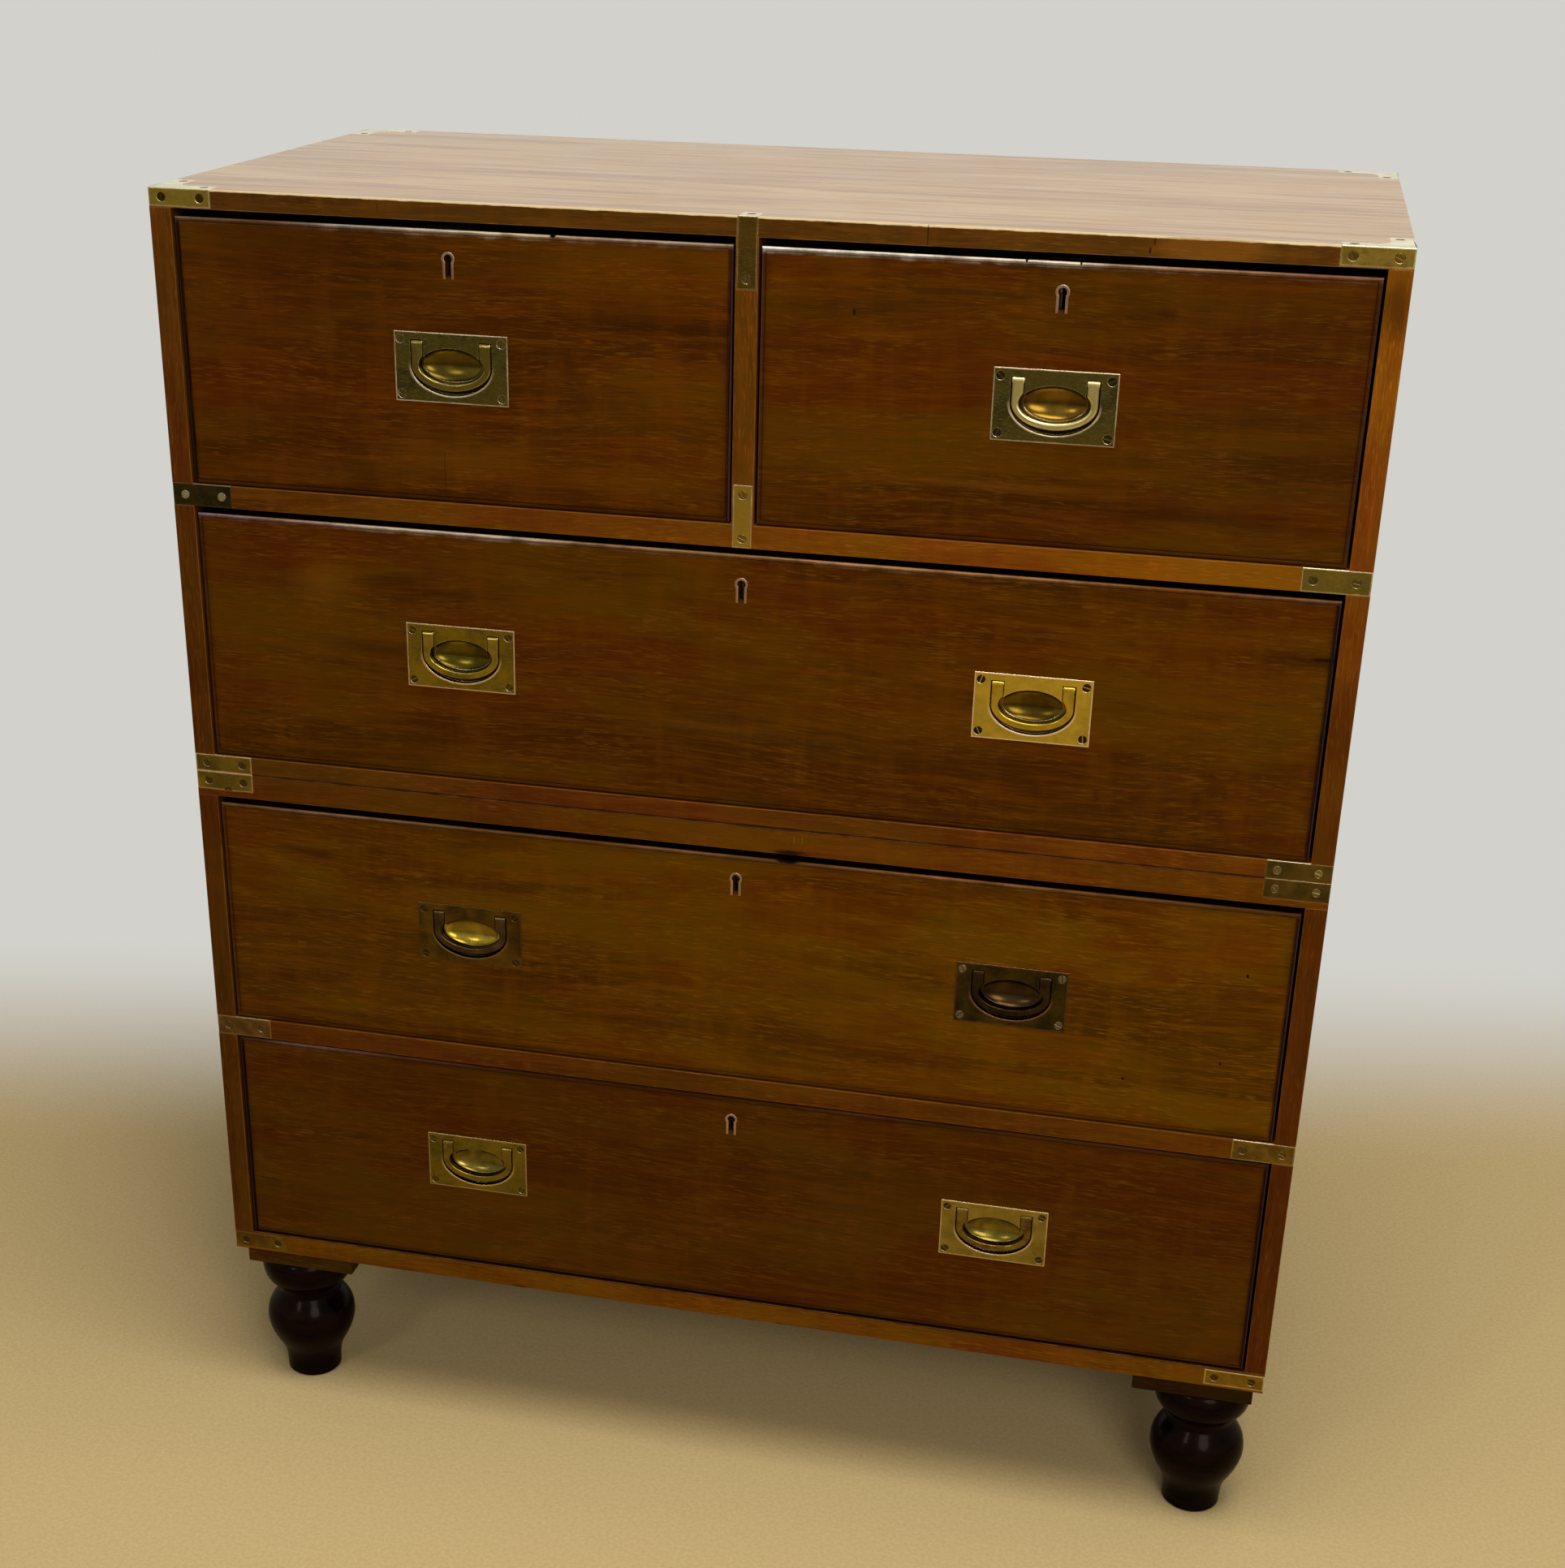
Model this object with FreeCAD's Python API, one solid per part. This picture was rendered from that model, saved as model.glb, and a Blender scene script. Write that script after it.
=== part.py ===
import FreeCAD, Part
import math
import os

V = FreeCAD.Vector

# Two-part campaign chest: a lower case on turned feet, an upper case standing on it, and
# five drawers. Millimetres. X runs across the chest, the drawer fronts face -Y, the floor
# is Z = 0, and the origin is the middle of the chest's footprint.

# ---- driving sizes ---------------------------------------------------------------------
case_width = 990.0
case_depth = 495.0
side_thick = 18.0
rail_thick = 19.0
rail_depth = 60.0
rail_housing = 6.0          # how far a rail's ends enter the sides
divider_thick = 18.0
tongue_height = 5.0         # tongues that join the sides to the boards
tongue_thick = 8.0
tongue_stop = 20.0          # how far a tongue stops short of the case's front and back

lower_base_thick = 20.0
bottom_opening = 215.5      # clear heights of the four rows
third_opening = 221.5
lower_top_thick = 23.0
upper_base_thick = 16.0
second_opening = 224.5
top_opening = 224.5
upper_top_thick = 15.5

back_thick = 12.0
back_rebate = 9.0           # how far the back boards lap over the case
back_board_count = 5
back_board_gap = 0.6

runner_width = 24.0
centre_runner_width = 60.0
guide_height = 18.0
stop_size = (30.0, 20.0, 6.0)
stop_offset = 150.0         # each drawer's two stops stand this far from its middle
stop_clear = 0.3

join_arris = 0.8            # planed off the two boards where the cases meet

peg_radius = 6.0
peg_in_lower = 12.0
peg_in_upper = 10.0
peg_fit = 0.05
peg_slide_fit = 0.2
peg_inset_x = 60.0
peg_inset_y = 60.0

front_inset = 1.5           # drawer fronts stand this far behind the case's front
front_thick = 22.0
front_under_gap = 1.0       # between a front and the rail or board below it
side_clear = 2.2            # between a drawer and the case, each side
runner_clear = 0.3
top_gap = {"top": 6.5, "second": 6.0, "third": 6.8, "bottom": 2.5}     # above each row's fronts
edge_round = 1.2
bead_width = 3.0
quirk = 0.8                 # width and depth of the scratched line beside the bead
drawer_side_thick = 11.0
drawer_side_drop = 6.0      # drawer sides stop this far below the front's top edge
drawer_back_thick = 11.0
drawer_back_drop = 10.0     # and the back this far below the sides
drawer_back_housing = 4.0
drawer_rear_gap = 5.5
bottom_thick = 7.0
bottom_rise = 8.0           # underside of the bottom above the sides' lower edges
bottom_groove = 4.5
tail_count = 4
tail_length = 14.0
tail_flare = 2.3
tail_pin = 12.0             # wood left between two tails at their wide ends

plate_width = 96.0
plate_height = 56.0
plate_thick = 2.5
plate_proud = 0.4
handle_offset = 243.0       # handles stand this far each side of the chest's middle
handle_lift = {"top": 0.3, "second": -0.2, "third": 2.9, "bottom": 2.0}     # above a front's middle
bail_half_width = 0.35 * plate_width
bail_rise = plate_height / 2 - 6.5      # top of the bail above the plate's middle
bail_drop = plate_height / 2 - 9.7      # and its lowest edge below the middle
bail_arm_width = 9.7        # the arms' tops, from which the bail narrows to its sides
bail_side_width = 6.2
bail_foot_width = 5.8
bail_thick = 5.5
bail_proud = 0.8            # above the plate's face
bail_edge_round = 1.5
bail_clear = 0.4
bail_side_clear = 0.9
bail_groove = 3.8           # width of the finger groove below the bail
bail_floor_clear = 0.5
stub_radius = 1.5
stub_length = 2.2
stub_fit = 0.05
cup_margin = (1.2, 0.2)     # cup's rim inside the bail's loop
cup_rise = 1.8              # cup's middle above the plate's middle
cup_mouth = 2.3             # straight part of the cup's wall
cup_depth = 11.0
casting_wall = 2.0
pan_margin = 0.8            # air between the casting and its pocket in the wood

screw_head_radius = 3.4
screw_head_depth = 2.0
screw_shank_radius = 1.3
screw_length = 9.0
screw_slot = (0.9, 0.6)
screw_fit = 0.05
plate_screw_inset = (5.4, 6.1)

key_drop = {"top": 22.2, "second": 24.7, "third": 21.3, "bottom": 21.9}     # keyhole below the top edge
key_round = 3.5
key_slot_half = 2.5
key_slot_length = 14.0
thread_wall = 2.0           # escutcheon
thread_skirt = 15.5
thread_depth = 3.0
lock_width = 64.0
lock_height = 42.0
lock_depth = 10.0
lock_wall = 1.5
bolt_width = 24.0
bolt_thick = 5.0
bolt_throw = 14.0
bolt_tail = (44.0, 19.5, 2.5)
bolt_clear = 0.3
bolt_sink = 0.3             # the drawn bolt's top below the drawer's edge
mortise_clear = 1.0         # round and above the thrown bolt
key_pin_radius = 1.3

strap_length = 53.0
strap_thick = 1.5
corner_flange = 14.5        # height of the top corners' front and side flanges
corner_leg = 18.0           # width of their legs on the top face
corner_fillet = 12.0
base_strap_height = 15.5
base_strap_rise = 2.0
join_strap_height = 17.0     # of the straps on the lower case's top board
divider_strap_width = 16.0
divider_strap_drop = 55.0
divider_strap_fold = 22.0
divider_strap_rise = 32.5   # lower divider strap above the rail
strap_screws = (11.0, 44.0)
strap_side_screws = (14.0, 44.0)

block_size = 108.0
block_height = 20.0
block_inset = 8.0
foot_height = 142.0
foot_edge_inset = 43.5      # foot's axis from the block's outer faces
foot_tenon = (12.0, 16.0)
foot_tenon_fit = 0.1
foot_collar = [(38.0, 0.0), (45.0, 16.0), (40.5, 31.0)]
foot_cove = [(40.5, 31.0), (32.5, 38.5), (30.5, 48.0)]
foot_bulb = [(30.5, 48.0), (36.8, 57.0), (42.0, 67.0), (43.5, 78.0), (41.6, 89.0), (36.8, 101.0),
             (30.8, 112.0), (27.4, 124.0)]
foot_ankle = 26.6
foot_edge = 2.0

# ---- levels ----------------------------------------------------------------------------
half_w = case_width / 2
half_d = case_depth / 2
inner_half = half_w - side_thick
case_z = foot_height + block_height
lower_floor = case_z + lower_base_thick
rail_low = lower_floor + bottom_opening
rail_low_top = rail_low + rail_thick
lower_ceiling = rail_low_top + third_opening
join_z = lower_ceiling + lower_top_thick
upper_floor = join_z + upper_base_thick
rail_high = upper_floor + second_opening
rail_high_top = rail_high + rail_thick
upper_ceiling = rail_high_top + top_opening
top_z = upper_ceiling + upper_top_thick
back_y = half_d - back_thick
front_y = -half_d + front_inset
front_back_y = front_y + front_thick
rail_back_y = -half_d + rail_depth


# ---- helpers ---------------------------------------------------------------------------
def box(x0, x1, y0, y1, z0, z1):
    return Part.makeBox(x1 - x0, y1 - y0, z1 - z0, V(x0, y0, z0))


def rod(radius, start, direction, length):
    return Part.makeCylinder(radius, length, start, direction)


def cut_all(shape, tools):
    for tool in tools:
        if shape.BoundBox.intersect(tool.BoundBox):
            shape = shape.cut(tool)
    return shape


def moved(shape, x, y, z):
    copy = shape.copy()
    copy.translate(V(x, y, z))
    return copy


def save(name, shapes):
    solids = [solid for shape in shapes for solid in shape.Solids]
    shape = solids[0] if len(solids) == 1 else Part.makeCompound(solids)
    shape.exportStep("parts/%s.step" % name)
    valid = all(solid.isValid() for solid in solids)
    print("%-32s %2d solids %10.1f cm3" % (name, len(solids), shape.Volume / 1000), "" if valid else "BAD")


def screw(position, inward):
    """A slotted countersunk screw whose head is flush at position and points along inward."""
    cone = Part.makeCone(screw_head_radius, screw_shank_radius, screw_head_depth, position, inward)
    body = cone.fuse(rod(screw_shank_radius, position, inward, screw_length))
    width, depth = screw_slot
    reach = screw_head_radius + 1
    across = V(0, 0, 1) if abs(inward.z) < 0.5 else V(1, 0, 0)
    side = inward.cross(across)
    corner = position - across * reach - side * (width / 2) - inward * depth
    slot = Part.makePolygon([corner, corner + across * (2 * reach),
                             corner + across * (2 * reach) + side * width, corner + side * width, corner])
    return body.cut(Part.Face(slot).extrude(inward * (2 * depth))).removeSplitter()


def screw_hole(position, inward):
    start = position - inward * 1.0
    cone = Part.makeCone(screw_head_radius + screw_fit, screw_shank_radius + screw_fit,
                         screw_head_depth, position, inward)
    mouth = rod(screw_head_radius + screw_fit, start, inward, 1.0)
    shank = rod(screw_shank_radius + screw_fit, position, inward, screw_length + screw_fit)
    return cone.fuse([mouth, shank])


# ---- brass straps and corners ----------------------------------------------------------
def edge_strap(side, z0, z1):
    """A strap let in round one front corner of a case, from z0 to z1, with its screws."""
    outer = side * half_w
    inner = side * (half_w - strap_length)
    face = side * (half_w - strap_thick)
    front = box(min(outer, inner), max(outer, inner), -half_d, -half_d + strap_thick, z0, z1)
    flank = box(min(outer, face), max(outer, face), -half_d, -half_d + strap_length, z0, z1)
    middle = (z0 + z1) / 2
    spots = [(V(side * (half_w - along), -half_d, middle), V(0, 1, 0)) for along in strap_screws]
    spots += [(V(outer, -half_d + along, middle), V(-side, 0, 0)) for along in strap_side_screws]
    return front.fuse(flank).removeSplitter(), spots


def top_corner(side, end):
    """A three-way corner of the top board: end is -1 at the front and 1 at the back."""
    def span(sign, edge, length):
        return sorted((sign * edge, sign * (edge - length)))
    x_long, x_thin, x_leg = (span(side, half_w, s) for s in (strap_length, strap_thick, corner_leg))
    y_long, y_thin, y_leg = (span(end, half_d, s) for s in (strap_length, strap_thick, corner_leg))
    face = box(*x_long, *y_thin, top_z - corner_flange, top_z)
    flank = box(*x_thin, *y_long, top_z - corner_flange, top_z)
    low = top_z - strap_thick
    plate = box(*x_long, *y_leg, low, top_z).fuse(box(*x_leg, *y_long, low, top_z))
    corner_x = side * (half_w - corner_leg)
    corner_y = end * (half_d - corner_leg)
    curve_x = corner_x - side * corner_fillet
    curve_y = corner_y - end * corner_fillet
    web = box(*sorted((corner_x, curve_x)), *sorted((corner_y, curve_y)), low, top_z)
    web = web.cut(rod(corner_fillet, V(curve_x, curve_y, low), V(0, 0, 1), strap_thick))
    middle = top_z - corner_flange / 2
    spots = [(V(side * (half_w - along), end * half_d, middle), V(0, -end, 0)) for along in strap_screws]
    spots += [(V(side * half_w, end * (half_d - along), middle), V(-side, 0, 0))
              for along in strap_side_screws]
    leg_middle = corner_leg / 2 + strap_thick
    far = strap_length - corner_leg / 2
    spots += [(V(side * (half_w - far), end * (half_d - leg_middle), top_z), V(0, 0, -1)),
              (V(side * (half_w - leg_middle), end * (half_d - far), top_z), V(0, 0, -1))]
    return plate.fuse([web, face, flank]).removeSplitter(), spots


def divider_straps():
    half = divider_strap_width / 2
    fold = box(-half, half, -half_d, -half_d + divider_strap_fold, top_z - strap_thick, top_z)
    drop = box(-half, half, -half_d, -half_d + strap_thick, top_z - divider_strap_drop, top_z)
    lower_top = rail_high_top + divider_strap_rise
    lower = box(-half, half, -half_d, -half_d + strap_thick, rail_high, lower_top)
    upper_spots = [(V(0, -half_d, top_z - divider_strap_drop + half), V(0, 1, 0)),
                   (V(0, -half_d + divider_strap_fold - half, top_z), V(0, 0, -1))]
    lower_spots = [(V(0, -half_d, z), V(0, 1, 0)) for z in (rail_high + half, lower_top - half)]
    return [(fold.fuse(drop).removeSplitter(), upper_spots), (lower, lower_spots)]


def finish_straps(pairs):
    """Drill each strap, and return the finished solids and the tools that let them in."""
    solids, tools = [], []
    for strap, spots in pairs:
        holes = [screw_hole(*spot) for spot in spots]
        solids += [cut_all(strap, holes)] + [screw(*spot) for spot in spots]
        tools += [strap] + holes
    return solids, tools


# ---- case boards -----------------------------------------------------------------------
def tongue(side, z0, z1):
    """The stopped tongue on a side board's end."""
    middle = side * (half_w - side_thick / 2)
    return box(middle - tongue_thick / 2, middle + tongue_thick / 2, -half_d + tongue_stop,
               back_y - tongue_stop, z0, z1)


def tongue_pair(z0, z1):
    return [tongue(side, z0, z1) for side in (-1, 1)]


def side_board(side, z0, z1, rail_z, tools):
    inner, outer = sorted((side * inner_half, side * half_w))
    board = box(inner, outer, -half_d, half_d, z0, z1)
    board = board.fuse([tongue(side, z0 - tongue_height, z0), tongue(side, z1, z1 + tongue_height)])
    rebate_x = sorted((side * inner_half, side * (inner_half + back_rebate)))
    rebate = box(*rebate_x, back_y, half_d, z0, z1)
    housing_x = sorted((side * inner_half, side * (inner_half + rail_housing)))
    housing = box(*housing_x, -half_d, rail_back_y, rail_z, rail_z + rail_thick)
    return cut_all(board, [rebate, housing] + tools).removeSplitter()


def across_board(z0, z1, tongues, rebate_z, tools):
    """A full-width board with housings for the sides' tongues and a rebate for the back."""
    board = box(-half_w, half_w, -half_d, half_d, z0, z1)
    lap = inner_half + back_rebate
    rebate = box(-lap, lap, back_y, half_d, *rebate_z)
    return cut_all(board, tongues + [rebate] + tools).removeSplitter()


def join_arrises(lean):
    """Wedges planed off a board's front and ends at the join; lean is -1 below it and 1 above it."""
    far = V(0, 0, join_z + lean * join_arris)
    edge = V(0, 0, join_z)
    wedges = []
    for inward, run, start in ((V(0, 1, 0), V(case_width, 0, 0), -half_w),
                               (V(1, 0, 0), V(0, case_depth, 0), -half_w),
                               (V(-1, 0, 0), V(0, case_depth, 0), half_w)):
        face = Part.Face(Part.makePolygon([edge, edge + inward * join_arris, far, edge]))
        wedges.append(moved(face.extrude(run), start, -half_d, 0))
    return wedges


def back_boards(floor, ceiling):
    lap = inner_half + back_rebate
    width = (2 * lap + back_board_gap) / back_board_count
    return [box(-lap + i * width, -lap + (i + 1) * width - back_board_gap, back_y, half_d,
                floor - back_rebate, ceiling + back_rebate) for i in range(back_board_count)]


def rail(z, tools):
    reach = inner_half + rail_housing
    return cut_all(box(-reach, reach, -half_d, rail_back_y, z, z + rail_thick), tools)


def side_runners(rail_z):
    return [box(*sorted((side * inner_half, side * (inner_half - runner_width))), rail_back_y, back_y,
                rail_z, rail_z + rail_thick) for side in (-1, 1)]


def stops(middle_x, floor_z, offset):
    width, length, height = stop_size
    start = front_back_y + stop_clear
    return [box(middle_x + s * offset - width / 2, middle_x + s * offset + width / 2,
                start, start + length, floor_z, floor_z + height) for s in (-1, 1)]


def mortise(drawer):
    half = bolt_width / 2 + mortise_clear
    y0, y1 = bolt_span_y()
    thrown = drawer["top"] - bolt_sink + bolt_throw
    return box(drawer["x"] - half, drawer["x"] + half, y0 - mortise_clear, y1 + mortise_clear,
               drawer["ceiling"], thrown + mortise_clear)


# ---- feet ------------------------------------------------------------------------------
def turned_foot(x, y):
    """The foot, turned about its axis, with the tenon that enters its block."""
    def at(point):
        return V(point[0], 0, foot_height - point[1])
    def arc(points):
        return Part.Arc(*[at(p) for p in points]).toShape()
    bulb = Part.BSplineCurve()
    bulb.interpolate([at(p) for p in foot_bulb])
    last = at(foot_bulb[-1])
    rim = V(foot_ankle, 0, foot_edge)
    base = V(foot_ankle - foot_edge, 0, 0)
    tenon_radius, tenon_height = foot_tenon
    head = foot_height + tenon_height
    top = [V(0, 0, head), V(tenon_radius, 0, head), V(tenon_radius, 0, foot_height), at(foot_collar[0])]
    edges = [Part.makeLine(top[i], top[i + 1]) for i in range(3)]
    edges += [arc(foot_collar), arc(foot_cove), bulb.toShape(), Part.makeLine(last, rim)]
    edges += [Part.makeLine(rim, base), Part.makeLine(base, V(0, 0, 0))]
    edges.append(Part.makeLine(V(0, 0, 0), V(0, 0, head)))
    turned = Part.Face(Part.Wire(edges)).revolve(V(0, 0, 0), V(0, 0, 1), 360)
    return moved(turned, x, y, 0)


def foot_and_block(side, end):
    outer_x = half_w - block_inset
    outer_y = half_d - block_inset
    x0, x1 = sorted((side * outer_x, side * (outer_x - block_size)))
    y0, y1 = sorted((end * outer_y, end * (outer_y - block_size)))
    x = side * (outer_x - foot_edge_inset)
    y = end * (outer_y - foot_edge_inset)
    tenon_radius, tenon_height = foot_tenon
    fit = foot_tenon_fit
    socket = rod(tenon_radius + fit, V(x, y, foot_height), V(0, 0, 1), tenon_height + fit)
    block = box(x0, x1, y0, y1, foot_height, case_z).cut(socket)
    return [turned_foot(x, y), block]


# ---- handles ---------------------------------------------------------------------------
def oval_slab(half_x, half_z, y0, y1):
    middle = V(0, y0, cup_rise)
    oval = Part.Ellipse(middle + V(half_x, 0, 0), middle + V(0, 0, half_z), middle)
    return Part.Face(Part.Wire(oval.toShape())).extrude(V(0, y1 - y0, 0))


def horseshoe(half_x, bottom, top, y0, y1):
    """A slab with a straight upper part and an oval lower end, as a flush handle's outline."""
    lower = oval_slab(half_x, cup_rise + bottom, y0, y1)
    keep = box(-half_x - 1, half_x + 1, y0, y1, -bottom - 1, cup_rise)
    return lower.common(keep).fuse(box(-half_x, half_x, y0, y1, cup_rise, top)).removeSplitter()


def bowl(grow):
    """The cup's hollow, or its outer shape if grow is the casting's wall: an oval mouth and a dish."""
    wide, high = cup_half[0] + grow, cup_half[1] + grow
    mouth = cup_mouth - plate_proud
    start = -plate_proud - 1
    rim = V(0, mouth, 0)
    oval = Part.Ellipse(rim + V(wide, 0, 0), rim + V(0, cup_depth - cup_mouth + grow, 0), rim)
    bottom = V(0, cup_depth - plate_proud + grow, 0)
    edges = [Part.makeLine(V(0, start, 0), V(wide, start, 0))]
    edges += [Part.makeLine(V(wide, start, 0), V(wide, mouth, 0))]
    edges += [Part.ArcOfEllipse(oval, 0, math.pi / 2).toShape(), Part.makeLine(bottom, V(0, start, 0))]
    round_dish = Part.Face(Part.Wire(edges)).revolve(V(0, 0, 0), V(0, 1, 0), 360)
    squash = FreeCAD.Matrix()
    squash.scale(1, 1, high / wide)
    return moved(round_dish.transformGeometry(squash), 0, 0, cup_rise)


bail_arm_inner = bail_half_width - bail_arm_width
bail_inner_half = (bail_half_width - bail_side_width, bail_drop + cup_rise - bail_foot_width)
cup_half = (bail_inner_half[0] - cup_margin[0], bail_inner_half[1] - cup_margin[1])
bail_face = -plate_proud - bail_proud
pivot_y = bail_face + bail_thick / 2
pivot_z = bail_rise - bail_thick / 2
recess_floor = bail_face + bail_thick + bail_floor_clear
recess_half = bail_half_width + bail_side_clear
recess_top = bail_rise + bail_clear
recess_bottom = bail_drop + bail_groove
pan_half = recess_half + stub_length + bail_clear
pan_top = recess_top + casting_wall
pan_bottom = recess_bottom + casting_wall
pan_back = recess_floor + casting_wall


def plate_screw_spots():
    x = plate_width / 2 - plate_screw_inset[0]
    z = plate_height / 2 - plate_screw_inset[1]
    return [(V(sx * x, -plate_proud, sz * z), V(0, 1, 0)) for sx in (-1, 1) for sz in (-1, 1)]


def make_casting():
    """The plate and its pan in one brass casting; y = 0 is the drawer front's face."""
    plate = box(-plate_width / 2, plate_width / 2, -plate_proud, plate_thick - plate_proud,
                -plate_height / 2, plate_height / 2)
    pan = horseshoe(pan_half, pan_bottom, pan_top, 0, pan_back)
    behind = box(-pan_half, pan_half, 0, 2 * cup_depth, -pan_bottom, pan_top)
    outer_bowl = bowl(casting_wall).common(behind)
    casting = plate.fuse([pan, outer_bowl])
    recess = horseshoe(recess_half, recess_bottom, recess_top, -plate_proud - 1, recess_floor)
    island_half = bail_arm_inner - bail_clear
    island = box(-island_half, island_half, -plate_proud - 1, recess_floor, cup_rise, recess_top)
    reach = recess_half + stub_length + stub_fit
    bores = rod(stub_radius + stub_fit, V(-reach, pivot_y, pivot_z), V(1, 0, 0), 2 * reach)
    middle = box(-recess_half, recess_half, -10, 10, 0, plate_height)
    holes = [screw_hole(*spot) for spot in plate_screw_spots()]
    return cut_all(casting, [recess.cut(island), bores.cut(middle), bowl(0)] + holes).removeSplitter()


def make_bail():
    """The swinging handle, with a stub on each arm that turns in the casting."""
    y0, y1 = bail_face, bail_face + bail_thick
    loop = horseshoe(bail_half_width, bail_drop, bail_rise, y0, y1)
    mouth = box(-bail_arm_inner, bail_arm_inner, y0, y1, cup_rise, bail_rise)
    loop = loop.cut(oval_slab(*bail_inner_half, y0, y1)).cut(mouth)
    width = 2 * bail_half_width
    ends = rod(bail_thick / 2, V(-bail_half_width, pivot_y, pivot_z), V(1, 0, 0), width)
    body = box(-bail_half_width, bail_half_width, y0, y1, -bail_drop, pivot_z)
    loop = loop.common(body.fuse(ends)).removeSplitter()
    face_edges = [edge for edge in loop.Edges
                  if abs(edge.BoundBox.YMin - y0) < 0.01 and abs(edge.BoundBox.YMax - y0) < 0.01
                  and edge.BoundBox.ZMin < pivot_z - 1]
    loop = loop.makeFillet(bail_edge_round, face_edges)
    reach = bail_half_width + stub_length
    stub = rod(stub_radius, V(-reach, pivot_y, pivot_z), V(1, 0, 0), 2 * reach)
    gap = box(-bail_half_width + 1, bail_half_width - 1, -10, 10, 0, plate_height)
    return loop.fuse(stub.cut(gap)).removeSplitter()


def plate_pocket():
    """The recess in a drawer front for one plate and its pan."""
    plate = box(-plate_width / 2, plate_width / 2, -1, plate_thick - plate_proud,
                -plate_height / 2, plate_height / 2)
    half = pan_half + pan_margin
    deep = box(-half, half, 0, cup_depth + casting_wall - plate_proud + pan_margin,
               -pan_bottom - pan_margin, pan_top + pan_margin)
    return plate.fuse([deep] + [screw_hole(*spot) for spot in plate_screw_spots()])


# ---- locks -----------------------------------------------------------------------------
def bolt_span_y():
    cavity_back = front_back_y - lock_wall
    return cavity_back - bolt_clear - bolt_thick, cavity_back - bolt_clear


def key_cut(radius, half, length, y0, y1):
    """A keyhole about the round end's centre: a round hole with a slot below it."""
    return rod(radius, V(0, y0, 0), V(0, 1, 0), y1 - y0).fuse(box(-half, half, y0, y1, -length, 0))


def lock_parts(x, top, key_z):
    """Lock case, thread escutcheon and bolt, and the tools that let them into the front."""
    lock_y = front_back_y - lock_depth
    case = box(x - lock_width / 2, x + lock_width / 2, lock_y, front_back_y, top - lock_height, top)
    cavity = box(x - lock_width / 2 + lock_wall, x + lock_width / 2 - lock_wall, lock_y + lock_wall,
                 front_back_y - lock_wall, top - lock_height + lock_wall, top - lock_wall)
    y0, y1 = bolt_span_y()
    half = bolt_width / 2
    slot = box(x - half - bolt_clear, x + half + bolt_clear, y0 - bolt_clear, y1 + bolt_clear / 2,
               top - 2 * lock_wall, top)
    keyhole = key_cut(key_round, key_slot_half, key_slot_length, front_y, lock_y + lock_wall)
    keyhole = moved(keyhole, x, 0, key_z)
    pin = rod(key_pin_radius, V(x, lock_y, key_z), V(0, 1, 0), lock_depth - lock_wall / 2)
    lock = case.cut(cavity.fuse([slot, keyhole])).fuse(pin).removeSplitter()
    thread_back = front_y + thread_depth
    outline = key_cut(key_round + thread_wall, key_slot_half + thread_wall, thread_skirt,
                      front_y, thread_back)
    opening = key_cut(key_round, key_slot_half, thread_skirt, front_y, thread_back)
    thread = moved(outline.cut(opening), x, 0, key_z)
    tail_width, tail_height, tail_thick = bolt_tail
    tail_low = top - lock_height + lock_wall + bolt_clear
    tail_top = tail_low + tail_height
    bolt = box(x - half, x + half, y0, y1, tail_top - bolt_thick, top - bolt_sink)
    bolt = bolt.fuse(box(x - tail_width / 2, x + tail_width / 2, y1 - tail_thick, y1, tail_low, tail_top))
    fork = key_pin_radius + bolt_clear
    bolt = bolt.cut(box(x - fork, x + fork, y0, y1, tail_low, key_z + fork)).removeSplitter()
    return lock, thread, bolt, [case, moved(outline, x, 0, key_z), keyhole]


# ---- drawers ---------------------------------------------------------------------------
def drawer_rows():
    long_half = inner_half - side_clear
    short_inner = divider_thick / 2 + side_clear
    short_x = (long_half + short_inner) / 2
    short_half = long_half - short_x
    def row(name, x, half, floor, ceiling, hands):
        key = name.split("_")[0]
        return dict(name=name, x=x, half=half, floor=floor, ceiling=ceiling, top=ceiling - top_gap[key],
                    key_drop=key_drop[key], handle_lift=handle_lift[key], hands=hands)
    left, right = ("left", -handle_offset), ("right", handle_offset)
    return [row("top_left", -short_x, short_half, rail_high_top, upper_ceiling, [left]),
            row("top_right", short_x, short_half, rail_high_top, upper_ceiling, [right]),
            row("second", 0.0, long_half, upper_floor, rail_high, [left, right]),
            row("third", 0.0, long_half, rail_low_top, lower_ceiling, [left, right]),
            row("bottom", 0.0, long_half, lower_floor, rail_low, [left, right])]


def tails(outer, inner, low, high):
    """The dovetails at the front end of one drawer side."""
    pitch = (high - low) / tail_count
    wide = (pitch - tail_pin) / 2
    shapes = []
    for i in range(tail_count):
        z = low + (i + 0.5) * pitch
        corners = [(front_back_y, -wide + tail_flare), (front_back_y - tail_length, -wide),
                   (front_back_y - tail_length, wide), (front_back_y, wide - tail_flare)]
        points = [V(min(outer, inner), y, z + dz) for y, dz in corners]
        shapes.append(Part.Face(Part.makePolygon(points + points[:1])).extrude(V(abs(outer - inner), 0, 0)))
    return shapes


def front_trim(x0, x1, z0, z1):
    """The scratched line that sets off the bead round a drawer front."""
    a, b = bead_width, bead_width + quirk
    outer = box(x0 + a, x1 - a, front_y, front_y + quirk, z0 + a, z1 - a)
    return outer.cut(box(x0 + b, x1 - b, front_y, front_y + quirk, z0 + b, z1 - b))


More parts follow.
